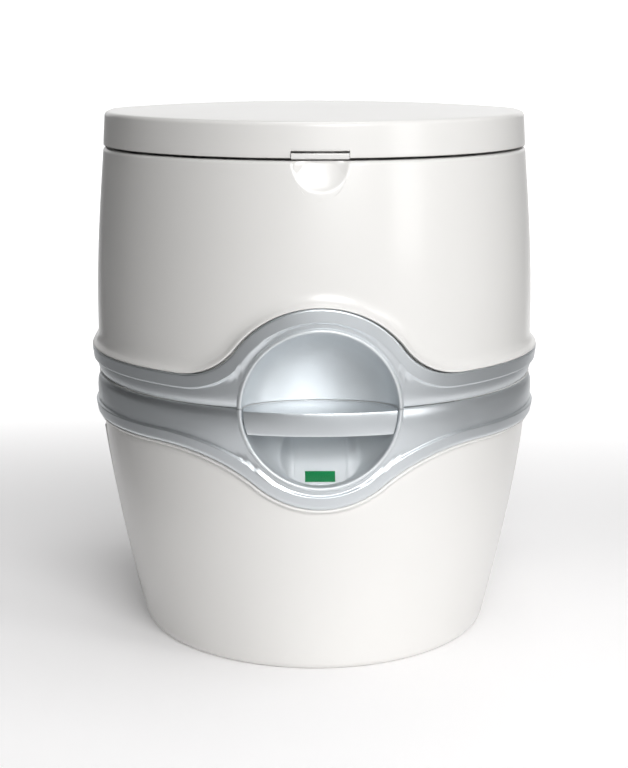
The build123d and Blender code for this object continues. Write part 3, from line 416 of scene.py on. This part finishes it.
def clear_plastic(name, colour, rough):
    """Plastic that lets most of the light through."""
    mat = plastic(name, colour, rough, 0.02, 300, 0.02)
    bsdf = mat.node_tree.nodes["Principled BSDF"]
    bsdf.inputs["Transmission Weight"].default_value = 0.9
    bsdf.inputs["IOR"].default_value = 1.45
    return mat


window_green = clear_plastic("green_window_plastic", (0.02, 0.42, 0.13), 0.12)
clear = clear_plastic("clear_tube_plastic", (0.85, 0.9, 0.92), 0.15)

SLOT_MATERIALS = {
    "white_shell": white, "grey_trim": grey, "dark_plastic": dark, "seal_rubber": rubber, "steel": steel,
    "green_window": window_green, "flag_green": green, "flag_red": red, "float_foam": foam,
    "clear_hose": clear,
}
for part in frame["record"]["subparts"]:
    mesh = nodes[part["node"]].data
    mesh.materials.clear()
    mesh.materials.append(SLOT_MATERIALS[part["material_slot"]])
# the level panel takes the recess grey, painted lighter to stand in for the light that falls on it
nodes["level_panel"].data.materials[0] = painted_lighter_recess_grey


# ------------------------------------------------------------------ columns round the casing
def front_columns():
    """q of the columns over the front, close together near the middle."""
    x = np.concatenate([np.arange(0, 34, 1.3), np.arange(34, 122, 2.2), np.arange(122, 165, 3.4),
                        np.array([168.5, 174, 179, 183.5, 187.2, 189.4])])
    x = np.concatenate([-x[:0:-1], x])
    return np.concatenate([[0.0], np.arccos(-x / 190.0) / np.pi])


def rear_columns(marks):
    """q from the right side round the rear to the left side; marks are extra exact columns."""
    q = np.concatenate([np.linspace(1, 2, 22), np.linspace(2, 3, 25)[1:], np.linspace(3, 4, 40)[1:],
                        np.linspace(4, 5, 25)[1:], np.linspace(5, 6, 22)[1:-1]])
    q = np.array([v for v in q if min([abs(v - m) for m in marks] + [9]) > 0.004])
    return np.sort(np.concatenate([q, marks]))


def q_rear(x, half=105.0):
    """q of the column at x on the rear face."""
    return 3 + (1 - x / half) / 2


def q_side(y, left=False, run=145.0):
    """q of the column at y on the straight side."""
    q = 1 + (y - AXIS_Y) / run
    return 7 - q if left else q


# ------------------------------------------------------------------ flush unit casing
SCOOP_HALF, SCOOP_TALL, SCOOP_DEEP = 22.5, 24.0, 4.2
EDGE_R = 3.0
FLARE_REACH = 13.0
# the rolled edge at the trim: how far its rows are sunk, and the welt above them
LIP_SUNK = (3.5, 1.5, 0.8, 0.3, 0.05)
LIP_BEAD, LIP_HALF = 1.1, 1.9


def build_flush_casing():
    """The upper casing: flared towards its trim, with the thumb scoop in front and two slots behind."""
    marks = [q_rear(x) for x in (*LATCH_SLOT, SIGHT_HALF, -SIGHT_HALF)]
    q = np.concatenate([front_columns(), rear_columns(np.array(marks))])
    x_guess = flush.point(q, 250.0)[:, 0]
    front = q <= 1
    edge = PARTING + np.where(front, upper_line.height(x_guess), upper_line.band)
    near = np.array([0.25, 0.25, 0.55, 1.0, 1.7, 2.7, 4.0, 5.6, 7.5, 10, 13, 17, 22])
    rows = [edge + d for d in near]
    start = edge + near[-1]
    for s in np.linspace(0, 1, 16)[1:]:
        rows.append(start + (SIGHT_TOP - start) * s)
    for height in np.linspace(SIGHT_TOP, DECK_Z - EDGE_R, 20)[1:]:
        rows.append(np.full_like(edge, height))
    turn = np.linspace(0, math.pi / 2, 7)[1:]
    for t in turn:
        rows.append(np.full_like(edge, DECK_Z - EDGE_R + EDGE_R * math.sin(t)))
    z = np.array(rows)
    rear = q > 1
    # rear rows snap to the sight slot's ends
    for k in range(z.shape[0]):
        for mark in (SIGHT_LOW, SIGHT_TOP):
            close = rear & (np.abs(z[k] - mark) < 4.2) & (np.abs(z[k] - mark) > 1e-6)
            if k < len(near) + 15 and close.any():
                z[k][close] = mark
    inset = np.zeros_like(z)
    inset[-6:] = (EDGE_R * (1 - np.cos(turn)))[:, None]
    x = flush.point(q[None, :], z)[..., 0]
    y = flush.point(q[None, :], z)[..., 1]
    d = np.where((q <= 1)[None, :], upper_line.distance(x, z - PARTING), z - PARTING - upper_line.band)
    flare = np.maximum(0, 1 - d / FLARE_REACH) ** 2.2
    body = flush.point(q[None, :], z, -inset)
    rim = upper_rim.point(q[None, :], np.minimum(z, 305))
    p = body.copy()
    p[..., :2] += (rim - body)[..., :2] * flare[..., None]
    # rolled edge at the trim: the first rows are sunk, and a narrow welt follows
    lip = np.zeros_like(z)
    lip[:len(LIP_SUNK)] = np.array(LIP_SUNK)[:, None]
    lip -= LIP_BEAD * np.sqrt(np.maximum(0, 1 - ((d - LIP_HALF) / LIP_HALF) ** 2))
    # thumb scoop
    u, v = x / SCOOP_HALF, (DECK_Z - z) / SCOOP_TALL
    inside = np.maximum(0, 1 - u**2 - v**2)
    scoop = np.where((y < 0) & (inside > 0), SCOOP_DEEP * inside**0.85, 0)
    shift = flush.point(q[None, :], z, -1.0) - flush.point(q[None, :], z, 0.0)
    p += shift * (lip + scoop)[..., None]
    n_rows, n_cols = z.shape
    keep = np.ones((n_rows - 1, n_cols), bool)
    cx = (p[:-1, :, 0] + np.roll(p, -1, 1)[1:, :, 0]) / 2
    cz = (p[:-1, :, 2] + p[1:, :, 2]) / 2
    is_rear = ((q > 3) & (q < 4))[None, :]
    keep[is_rear & (cx > LATCH_SLOT[0]) & (cx < LATCH_SLOT[1]) & (cz < LATCH_SLOT_TOP)] = False
    keep[is_rear & (np.abs(cx) < SIGHT_HALF) & (cz > SIGHT_LOW) & (cz < SIGHT_TOP)] = False
    faces = grid_faces(n_rows, n_cols, True, keep)
    extra, more = hole_walls(p, keep, lambda c: c - np.array([0, 8.0, 0]))
    points = np.concatenate([p.reshape(-1, 3), np.array(extra).reshape(-1, 3)])
    piece("flush_casing", points, faces + more, "flush_unit", white, ["flush_tank_shell"])
    inner_copy("flush_casing_inside", "flush_tank_shell", flush, "flush_unit", white, 1.4,
               top=DECK_Z)


# ------------------------------------------------------------------ waste tank casing
STEP_FRONT, STEP_REAR, STEP_TOP = 6.0, 128.0, 165.0
NOTCH_X, NOTCH_Y, NOTCH_Z = 15.0, 145.0, 150.0
FOOT_R = 6.0
# half the width over which the side step rises, and its height at its top and bottom
STEP_EASE = 0.9
STEP_OUT_TOP, STEP_OUT_LOW = 4.0, 5.6
GROOVE_DEEP, GROOVE_AHEAD, GROOVE_HALF = 1.6, 2.7, 1.1
# the welt under the band, by its distance from the band's edge
SEAM_BEAD, SEAM_CENTRE, SEAM_HALF = 3.0, 1.4, 1.8
# the rear corner's centre and radius, level with the spout's notch
CORNER_Y, CORNER_R = 137.5, 81.0
# the casing runs this far up behind the band
HEAD_LAP = 4.0


def build_waste_casing():
    """The lower casing: rounded foot, stepped sides, a welt under the band, a notch for the spout."""
    step_marks = [q_side(y, side) for side in (False, True)
                  for y in (*(STEP_FRONT + STEP_EASE * k for k in range(-5, 2)),
                            STEP_REAR - STEP_EASE, STEP_REAR, STEP_REAR + STEP_EASE)]
    notch_q = 5 - math.asin((NOTCH_Y - CORNER_Y) / CORNER_R) / (math.pi / 2)
    marks = [q_rear(x) for x in (*LATCH_SLOT, NOTCH_X)] + [notch_q] + step_marks
    q = np.concatenate([front_columns(), rear_columns(np.array(marks))])
    x_guess = waste.point(q, 160.0)[:, 0]
    head = PARTING - np.where(q <= 1, lower_line.height(x_guess), lower_line.band) + HEAD_LAP
    turn = np.linspace(0, math.pi / 2, 8)
    rows = [np.full_like(head, FOOT_R * (1 - math.cos(t))) for t in turn]
    for height in np.linspace(FOOT_R, 120, 24)[1:]:
        rows.append(np.full_like(head, height))
    for s in np.linspace(0, 1, 18)[1:]:
        rows.append(120 + (head - 12 - 120) * s)
    for down in (10, 8.2, 7.2, 6.8, 6.4, 6.0, 5.6, 5.2, 4.8, 4.4, 4.1, 3.5, 0):
        rows.append(head - down)
    z = np.array(rows)
    rear = q > 1
    for mark in (NOTCH_Z, STEP_TOP - 0.8, STEP_TOP, STEP_TOP + 0.8, LATCH_SLOT_LOW):
        k = np.argmin(np.abs(z[:, rear][:, 0] - mark))
        z[k, rear] = mark
    z = np.sort(z, axis=0)
    inset = np.zeros_like(z)
    inset[:len(turn)] = (FOOT_R * (1 - np.sin(turn)))[:, None]
    base = waste.point(q[None, :], z)
    y = base[..., 1]
    on_side = ((q > 1) & (q < 2) | (q > 5))[None, :]
    under_top = soft_step((STEP_TOP + 0.8 - z) / 1.6)
    rise = soft_step((y - STEP_FRONT + STEP_EASE) / (2 * STEP_EASE))
    rise = rise * soft_step((STEP_REAR + STEP_EASE - y) / (2 * STEP_EASE)) * under_top
    groove = np.exp(-(((y - STEP_FRONT + GROOVE_AHEAD) / GROOVE_HALF) ** 2)) * under_top
    out = STEP_OUT_TOP + (STEP_OUT_LOW - STEP_OUT_TOP) * (1 - z / STEP_TOP)
    step = np.where(on_side, out * rise - GROOVE_DEEP * groove, 0)
    x = base[..., 0]
    d = np.where((q <= 1)[None, :], lower_line.distance(x, PARTING - z), PARTING - z - lower_line.band)
    bead = SEAM_BEAD * np.sqrt(np.maximum(0, 1 - ((d - SEAM_CENTRE) / SEAM_HALF) ** 2))
    p = waste.point(q[None, :], z, step - inset + bead)
    n_rows, n_cols = z.shape
    keep = np.ones((n_rows - 1, n_cols), bool)
    nxt = np.roll(p, -1, 1)
    cx = (p[:-1, :, 0] + nxt[1:, :, 0]) / 2
    cz = (p[:-1, :, 2] + p[1:, :, 2]) / 2
    cq = ((q + np.append(q[1:], 6.0)) / 2)[None, :]
    keep[(cq > 3) & (cq < notch_q) & (cx < NOTCH_X) & (cz > NOTCH_Z)] = False
    keep[(cq > 3) & (cq < 4) & (cx > LATCH_SLOT[0]) & (cx < LATCH_SLOT[1]) & (cz > LATCH_SLOT_LOW)] = False
    faces = grid_faces(n_rows, n_cols, True, keep)
    # flat underside
    faces.append(tuple(range(n_cols)))
    extra, more = hole_walls(p, keep, lambda c: c * WALL_SHARE)
    points = np.concatenate([p.reshape(-1, 3), np.array(extra).reshape(-1, 3)])
    piece("waste_casing", points, faces + more, "waste_tank", white, ["waste_tank_shell"])
    inner_copy("waste_casing_inside", "waste_tank_shell", waste, "waste_tank", white, 1.4,
               bottom=0.0)


# ------------------------------------------------------------------ grey bands
RIM_WIDTH, EYE_DEPTH = 10.6, 2.6
# q where the lower band ends beside the spout's notch
BAND_NOTCH_Q = 4.94


def build_band(name, hull, line, up, node):
    """One half of the grey band: a raised rim along its outer edge and a sunk field inside it."""
    side = 1 if up else -1
    inner, outer = line.pairs(70)
    width = np.hypot(*(inner - outer).T)
    full = line.band - SEAM
    sunk = np.array([
        0.0, 0.0, 0.25, 0.7, 1.4, 2.4, 3.6, 5.2, 7, 8.8, 9.9, 10.4, 10.8, 11.3, 11.8, 12.4, 13.4,
    ])
    shares = np.array([0.2, 0.45, 0.7, 0.86, 0.95, 1.0, 1.0])

    def rows_for(w):
        rest = w - sunk[-1]
        return np.concatenate([sunk, sunk[-1] + rest * shares])

    columns = []
    for wide, near, far in zip(width, outer, inner):
        columns.append(near + (far - near) * (rows_for(wide) / wide)[:, None])
    right = np.array(columns)
    xh = np.concatenate([right, (right * np.array([-1, 1]))[::-1][1:]])
    z_front = PARTING + side * xh[..., 1]
    q_front = hull.q_of_x(xh[..., 0], z_front)
    strip = PARTING + side * (line.band - rows_for(full))
    q_first = q_front[0]
    marks = np.array([q_rear(x) for x in LATCH_SLOT] + ([] if up else [q_rear(NOTCH_X), BAND_NOTCH_Q]))
    back = rear_columns(marks)
    lead = np.linspace(0, 1, 26)[1:-1, None]
    q_lead = q_first[None, :] + (1.0 - q_first[None, :]) * lead
    q_tail = q_front[-1][None, :] * (1 - lead)
    q_all = np.concatenate([q_front[::-1], q_lead, np.repeat(back[:, None], len(strip), 1), q_tail[::-1]])
    # order: from left spread over the front to the right spread, on to the right side, rear and left side
    z_all = np.concatenate([z_front[::-1], np.repeat(strip[None], len(lead) + len(back) + len(lead), 0)])
    x = hull.point(q_all, z_all)[..., 0]
    h = side * (z_all - PARTING)
    front = q_all <= 1
    d_out = -np.where(front, line.distance(x, h), h - line.band)
    d_out = np.maximum(d_out, 0)
    edge = 2.2 if up else 3.4
    round_r = 1.0 if up else 3.0
    t = np.clip(1 - d_out / round_r, 0, 1)
    off = -edge * (1 - np.sqrt(np.maximum(0, 1 - t**2)))
    off = off - EYE_DEPTH * soft_step((d_out - RIM_WIDTH) / 1.1)
    away = np.abs(x) > RING_OUT - 1.0
    roll = np.clip(1 - (h - SEAM) / 8.0, 0, 1) ** 2 * 2.7
    off = off - np.where(away | ~front, roll, roll * soft_step((np.abs(x) - 50) / 16))
    off[:, 0] = -6.0
    off[:, -1] -= 5.0
    p = hull.point(q_all, z_all, off)
    n_cols, n_rows = q_all.shape
    grid = p.transpose(1, 0, 2)
    keep = np.ones((n_rows - 1, n_cols), bool)
    qm = (q_all[:, 0] + np.roll(q_all[:, 0], -1)) / 2
    qm[-1] = 5.99
    xm = (grid[0, :, 0] + np.roll(grid[0, :, 0], -1)) / 2
    slot_cols = (qm > 3) & (qm < 4) & (xm > LATCH_SLOT[0]) & (xm < LATCH_SLOT[1])
    keep[:, slot_cols] = False
    if not up:
        keep[:, (qm > 3) & (qm < BAND_NOTCH_Q) & (xm < NOTCH_X)] = False
    faces = grid_faces(n_rows, n_cols, True, keep)
    extra, more = hole_walls(grid, keep, lambda c: c * WALL_SHARE)
    points = np.concatenate([grid.reshape(-1, 3), np.array(extra).reshape(-1, 3)])
    body = "flush_unit" if up else "waste_tank"
    piece(name, points, faces + more, body, grey, [node])


# ------------------------------------------------------------------ grip recess
PANEL_HALF, PANEL_TOP, PANEL_LOW = 20.0, 196.0, 157.5
PANEL_TOP_Y, PANEL_LOW_Y = -176.0, -209.0
PANEL_FADE = 26.0


def fairing(x, z):
    """The slanted face that the lower dish shares with the level panel, falling away beside it."""
    face = PANEL_TOP_Y + (PANEL_LOW_Y - PANEL_TOP_Y) * (PANEL_TOP - z) / (PANEL_TOP - PANEL_LOW)
    beside = np.abs(x) - PANEL_HALF
    under = 1.0 - 0.85 * soft_step((beside - 0.3) / 1.2)
    return face + under + 16.0 * soft_step(beside / PANEL_FADE) ** 1.5


def build_dish(name, up, node):
    """Half of the round recess with its rolled lip."""
    side = 1 if up else -1
    hull = upper_rim if up else lower_rim
    start = math.asin(SEAM / RECESS_R)
    angle = np.linspace(start, math.pi - start, 97)

    def surface_y(radius):
        x, z = radius * np.cos(angle), PARTING + side * radius * np.sin(angle)
        return hull.point(hull.q_of_x(x, z), z)[..., 1]

    rows = []
    lip = [(RING_OUT + 0.6, 3.5), (RING_OUT + 0.4, 1.9), (65.0, 0.9), (64.4, 0.2), (63.6, -0.15),
           (62.8, 0.15), (62.1, 0.9), (61.7, 2.0), (61.5, 3.6)]
    for radius, sunk in lip:
        rows.append(np.stack([radius * np.cos(angle), surface_y(radius) + sunk,
                              PARTING + side * radius * np.sin(angle)], -1))
    last = rows[-1][:, 1]
    for t in np.linspace(0, math.pi / 2, 30):
        radius = RECESS_R * math.cos(t) ** 0.92 if t < math.pi / 2 else 0.0
        depth = RECESS_SIDE_Y + (RECESS_BACK_Y - RECESS_SIDE_Y) * math.sin(t)
        y = np.maximum(depth, last + 0.2 * (t > 0)) if t < 0.2 else np.full_like(angle, depth)
        z = PARTING + side * np.maximum(radius * np.sin(angle), SEAM)
        x = radius * np.cos(angle)
        if not up:
            y = np.minimum(y, np.maximum(fairing(x, z), RECESS_SIDE_Y))
        rows.append(np.stack([x, y, z], -1))
    p = np.array(rows)
    faces = grid_faces(p.shape[0], p.shape[1])
    body = "flush_unit" if up else "waste_tank"
    # the dish takes the recess grey, painted lighter to stand in for the light that falls into it
    piece(name, p.reshape(-1, 3), faces, body, painted_lighter_recess_grey, [node])


# ------------------------------------------------------------------ lid
LID_HALF, LID_CORNER = 181.6, 110.0
LID = Hull([
    (LID_LOW, LID_HALF, 199, 150, LID_CORNER), (432, 180.5, 197.8, 148.8, 108.8),
    (450, 179.4, 196.6, 147.6, 107.6),
])
CROWN_R, CROWN_Y, LID_TOP, LID_ROUND = 2700.0, -23.0, 448.0, 4.0
LATCH_HALF, LATCH_TOP, HINGE_CUT_Y, HINGE_CUT_Z = 23.0, 418.9, 100.0, 426.0
# over the hinges the skirt is pushed up nearly all the way to the crown's underside
HINGE_GAP_X, HINGE_GAP_Y, HINGE_GAP_PUSH = (56.0, 94.0), 140.0, 0.97
# the depth of the lid's outer skin, on its faces and in its rounded edge
LID_SKIN, LID_SKIN_EDGE = 1.4, 1.7


def crown(x, y):
    """Height of the lid's slightly domed top."""
    return LID_TOP - (x**2 + (y - CROWN_Y) ** 2) / (2 * CROWN_R)


def build_lid():
    """The lid's outer shell, notched for its latch and hinges, and the CAD lid's inside under it."""
    q = np.concatenate([front_columns(), rear_columns(np.array([3.0]))])
    q_notch = [math.acos(-(edge + side) / LID_HALF) / math.pi
               for edge in (-LATCH_HALF, LATCH_HALF) for side in (-0.05, 0.05)]
    straight = LID_HALF - LID_CORNER
    corner = math.asin((HINGE_GAP_X[1] - straight) / LID_CORNER) / (math.pi / 2)
    q_gap = [q_rear(side * HINGE_GAP_X[0], straight) for side in (1, -1)] + [3 - corner, 4 + corner]
    q_gap = [v + side * 0.0006 for v in q_gap for side in (1, -1)]
    q = np.sort(np.concatenate([q, q_notch, q_gap]))
    foot = LID.point(q, LID_LOW)
    low = np.where(foot[:, 1] > HINGE_CUT_Y, HINGE_CUT_Z, LID_LOW)
    low = np.where((np.abs(foot[:, 0]) < LATCH_HALF) & (foot[:, 1] < 0), LATCH_TOP, low)
    edge = crown(foot[:, 0], foot[:, 1]) - LID_ROUND
    across = np.abs(foot[:, 0])
    at_hinge = (across > HINGE_GAP_X[0]) & (across < HINGE_GAP_X[1]) & (foot[:, 1] > HINGE_GAP_Y)
    low = np.where(at_hinge, edge - 1.0, low)
    rows = []
    for inset, up in ((2.6, 0.0), (0.9, 0.0), (0.35, 0.15), (0.08, 0.45), (0.0, 0.95)):
        rows.append(LID.point(q, low + up, -inset))
    for s in (0.08, 0.2, 0.4, 0.6, 0.8, 1.0):
        rows.append(LID.point(q, low + 0.95 + (edge - low - 0.95) * s))
    for t in np.linspace(0, math.pi / 2, 9)[1:]:
        inset, rise = LID_ROUND * (1 - math.cos(t)), LID_ROUND * math.sin(t)
        ring = LID.point(q, edge, -inset)
        ring[:, 2] = edge + rise
        rows.append(ring)
    last = rows[-1].copy()
    for s in (0.985, 0.96, 0.92, 0.86, 0.78, 0.68, 0.56, 0.43, 0.3, 0.17, 0.06):
        ring = last.copy()
        ring[:, 0] = last[:, 0] * s
        ring[:, 1] = CROWN_Y + (last[:, 1] - CROWN_Y) * s
        drop = last[:, 2] - crown(last[:, 0], last[:, 1])
        ring[:, 2] = crown(ring[:, 0], ring[:, 1]) + drop * s**12
        rows.append(ring)
    p = np.array(rows)
    below = np.where(at_hinge, edge + 1.0, -1.0)[None, :] - p[..., 2]
    p[..., 2] += HINGE_GAP_PUSH * np.maximum(below, 0)
    n_rows, n_cols = p.shape[:2]
    faces = grid_faces(n_rows, n_cols, True)
    centre = n_rows * n_cols
    start = (n_rows - 1) * n_cols
    faces += [(start + j, start + (j + 1) % n_cols, centre) for j in range(n_cols)]
    points = np.concatenate([p.reshape(-1, 3), [[0, CROWN_Y, LID_TOP]]])
    piece("lid_shell", points, faces, "lid", white, ["lid"])

    mesh = nodes["lid"].data.copy()
    work = bmesh.new()
    work.from_mesh(mesh)
    work.verts.ensure_lookup_table()
    co = np.array([tuple(v.co) for v in work.verts]) / MM
    side, top = LID.distance(co), co[:, 2] - crown(co[:, 0], co[:, 1])
    skin = (side > -LID_SKIN) | (top > -LID_SKIN) | ((side > -LID_SKIN_EDGE) & (top > -LID_SKIN_EDGE))
    doomed = [f for f in work.faces if all(skin[v.index] for v in f.verts)]
    bmesh.ops.delete(work, geom=doomed, context="FACES")
    drop_loose(work)
    work.to_mesh(mesh)
    work.free()
    obj = bpy.data.objects.new("lid_inside", mesh)
    bpy.context.scene.collection.objects.link(obj)
    mesh.materials.clear()
    mesh.materials.append(white)
    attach(obj, "lid")


# ------------------------------------------------------------------ carried-over CAD nodes
def soften(names, width=0.8, angle=35.0):
    """Rounds the sharp edges of CAD nodes and smooths their curved faces."""
    for node in names:
        obj = nodes[node]
        weld = obj.modifiers.new("weld", "WELD")
        weld.merge_threshold = 0.02 * MM
        bevel = obj.modifiers.new("bevel", "BEVEL")
        bevel.width = width * MM
        bevel.segments = 3
        bevel.limit_method = "ANGLE"
        bevel.angle_limit = math.radians(angle)
        bevel.use_clamp_overlap = True
        bevel.harden_normals = True


build_flush_casing()
build_waste_casing()
build_lid()
soften(["valve_handle"], 1.6)
soften(["level_panel", "lid_latch", "rear_latch", "hinge_brackets", "hinge_plates", "lid_hinge_arms",
        "latch_bracket", "sight_tube_ends", "spout_bay"], 0.6)
build_band("upper_band", upper_rim, upper_line, True, "upper_trim")
build_band("lower_band", lower_rim, lower_line, False, "lower_trim")
build_dish("upper_dish", True, "upper_recess_dish")
build_dish("lower_dish", False, "lower_recess_dish")
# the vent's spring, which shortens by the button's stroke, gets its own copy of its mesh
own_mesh(nodes["vent_spring"])


# ------------------------------------------------------------------ studio, in metres
FLOOR_HALF = 60.0
FLOOR_SHADE, FLOOR_PALE = (0.27, 0.27, 0.272, 1), (0.90, 0.89, 0.892, 1)
# the pale pool: its sides at the object, how far they spread per metre behind it, their soft width
POOL_LEFT, POOL_LEFT_SPREAD = 0.27, 0.14
POOL_RIGHT, POOL_RIGHT_SPREAD = 0.3, 0.19
POOL_FADE, POOL_FADE_SPREAD = 0.24, 0.2
POOL_FRONT = (-0.9, -0.42)
# the floor's own glow, so that its far parts don't darken
GLOW_NEAR, GLOW_FAR, GLOW_RISE = 0.14, 0.9, (0.15, 1.6)
GLOW_AROUND, GLOW_AROUND_RISE = 0.16, (0.9, 3.0)
WORLD_BASE, WORLD_SIDE = 0.02, 0.15
WORLD_SIDE_RISE, WORLD_BACK_RISE = (-0.9, 0.3), (0.8, 0.95)
LIGHTS = {
    # place, size, watts
    "key": ((0.45, -2.25, 1.45), (1.3, 1.3), 44),
    "side": ((1.5, -1.3, 0.9), (0.6, 1.2), 8),
    "top": ((0.3, 0.3, 4.2), (2.4, 2.4), 52),
}
LIGHT_AIM, CAMERA_AIM = (0, 0, 0.22), (0.0, 0.0, 0.1996)
CAMERA_AWAY, CAMERA_HEIGHT, CAMERA_TURN, CAMERA_LENS = 1.77, 0.522, math.radians(-1.35), 94.95


def math_node(tree, operation, *values):
    """A math node on inputs that are each a socket or a number; returns its output."""
    node = tree.nodes.new("ShaderNodeMath")
    node.operation = operation
    for socket, value in zip(node.inputs, values):
        if isinstance(value, (int, float)):
            socket.default_value = value
        else:
            tree.links.new(value, socket)
    return node.outputs[0]


def ramp_between(tree, value, low, high):
    """0 below low, 1 above high, eased in between."""
    node = tree.nodes.new("ShaderNodeMapRange")
    node.interpolation_type = "SMOOTHSTEP"
    node.inputs["From Min"].default_value = low
    node.inputs["From Max"].default_value = high
    tree.links.new(value, node.inputs["Value"])
    return node.outputs["Result"]


def studio_floor():
    """A wide pale floor, brightest in front of and behind the object, with soft shade beside it."""
    corners = [(x * FLOOR_HALF, y * FLOOR_HALF, 0) for x, y in ((-1, -1), (1, -1), (1, 1), (-1, 1))]
    mesh = bpy.data.meshes.new("floor")
    mesh.from_pydata(corners, [], [(0, 1, 2, 3)])
    floor = bpy.data.objects.new("floor", mesh)
    bpy.context.scene.collection.objects.link(floor)
    mat = bpy.data.materials.new("studio_floor")
    mat.use_nodes = True
    tree = mat.node_tree
    bsdf = tree.nodes["Principled BSDF"]
    bsdf.inputs["Roughness"].default_value = 0.6
    bsdf.inputs["Specular IOR Level"].default_value = 0.1
    coords = tree.nodes.new("ShaderNodeTexCoord")
    split = tree.nodes.new("ShaderNodeSeparateXYZ")
    tree.links.new(coords.outputs["Object"], split.inputs["Vector"])
    x, y = split.outputs["X"], split.outputs["Y"]
    behind = math_node(tree, "MAXIMUM", y, 0.0)
    fade = math_node(tree, "MULTIPLY_ADD", behind, POOL_FADE_SPREAD, POOL_FADE)
    left = math_node(tree, "MULTIPLY_ADD", behind, POOL_LEFT_SPREAD, POOL_LEFT)
    left = math_node(tree, "DIVIDE", math_node(tree, "ADD", left, x), fade)
    right = math_node(tree, "MULTIPLY_ADD", behind, POOL_RIGHT_SPREAD, POOL_RIGHT)
    right = math_node(tree, "DIVIDE", math_node(tree, "SUBTRACT", right, x), fade)
    lit = ramp_between(tree, left, -1.0, 0.0)
    lit = math_node(tree, "MULTIPLY", lit, ramp_between(tree, right, -1.5, 0.0))
    lit = math_node(tree, "MULTIPLY", lit, ramp_between(tree, y, *POOL_FRONT))
    tone = tree.nodes.new("ShaderNodeValToRGB")
    tone.color_ramp.elements[0].color = FLOOR_SHADE
    tone.color_ramp.elements[1].color = FLOOR_PALE
    tree.links.new(lit, tone.inputs["Fac"])
    tree.links.new(tone.outputs["Color"], bsdf.inputs["Base Color"])
    far = math_node(tree, "MULTIPLY_ADD", ramp_between(tree, y, *GLOW_RISE), GLOW_FAR, GLOW_NEAR)
    glow = math_node(tree, "MULTIPLY", far, lit)
    reach = tree.nodes.new("ShaderNodeVectorMath")
    reach.operation = "LENGTH"
    tree.links.new(coords.outputs["Object"], reach.inputs[0])
    around = ramp_between(tree, reach.outputs["Value"], *GLOW_AROUND_RISE)
    glow = math_node(tree, "MAXIMUM", glow, math_node(tree, "MULTIPLY", around, GLOW_AROUND))
    bsdf.inputs["Emission Color"].default_value = (1, 1, 1, 1)
    tree.links.new(glow, bsdf.inputs["Emission Strength"])
    mesh.materials.append(mat)


def studio_world():
    """Soft surroundings: dark on the left, pale on the right, white behind the object."""
    world = bpy.data.worlds.new("studio")
    world.use_nodes = True
    tree = world.node_tree
    coords = tree.nodes.new("ShaderNodeTexCoord")
    split = tree.nodes.new("ShaderNodeSeparateXYZ")
    tree.links.new(coords.outputs["Generated"], split.inputs["Vector"])
    side = math_node(tree, "MULTIPLY", ramp_between(tree, split.outputs["X"], *WORLD_SIDE_RISE), WORLD_SIDE)
    back = ramp_between(tree, split.outputs["Y"], *WORLD_BACK_RISE)
    light = math_node(tree, "ADD", math_node(tree, "ADD", side, back), WORLD_BASE)
    tree.links.new(light, tree.nodes["Background"].inputs["Strength"])
    tree.nodes["Background"].inputs["Color"].default_value = (1, 1, 1, 1)
    bpy.context.scene.world = world


def area_light(name, place, size, power):
    """A rectangular lamp aimed at the object."""
    light = bpy.data.lights.new(name, "AREA")
    light.shape = "RECTANGLE"
    light.size, light.size_y = size
    light.energy = power
    obj = bpy.data.objects.new(name, light)
    obj.location = place
    obj.rotation_euler = (Vector(LIGHT_AIM) - Vector(place)).to_track_quat("-Z", "Y").to_euler()
    bpy.context.scene.collection.objects.link(obj)


def studio():
    """The floor, the surroundings, the lamps and the camera at the photo's angle."""
    scene = bpy.context.scene
    scene.view_settings.view_transform = "Standard"
    studio_floor()
    studio_world()
    for name, (place, size, power) in LIGHTS.items():
        area_light(name, place, size, power)

    camera = bpy.data.cameras.new("camera")
    camera.sensor_width = 36
    camera.lens = CAMERA_LENS
    view = bpy.data.objects.new("camera", camera)
    view.location = (math.sin(CAMERA_TURN) * CAMERA_AWAY, -math.cos(CAMERA_TURN) * CAMERA_AWAY, CAMERA_HEIGHT)
    view.rotation_euler = (Vector(CAMERA_AIM) - view.location).to_track_quat("-Z", "Y").to_euler()
    scene.collection.objects.link(view)
    scene.camera = view


studio()
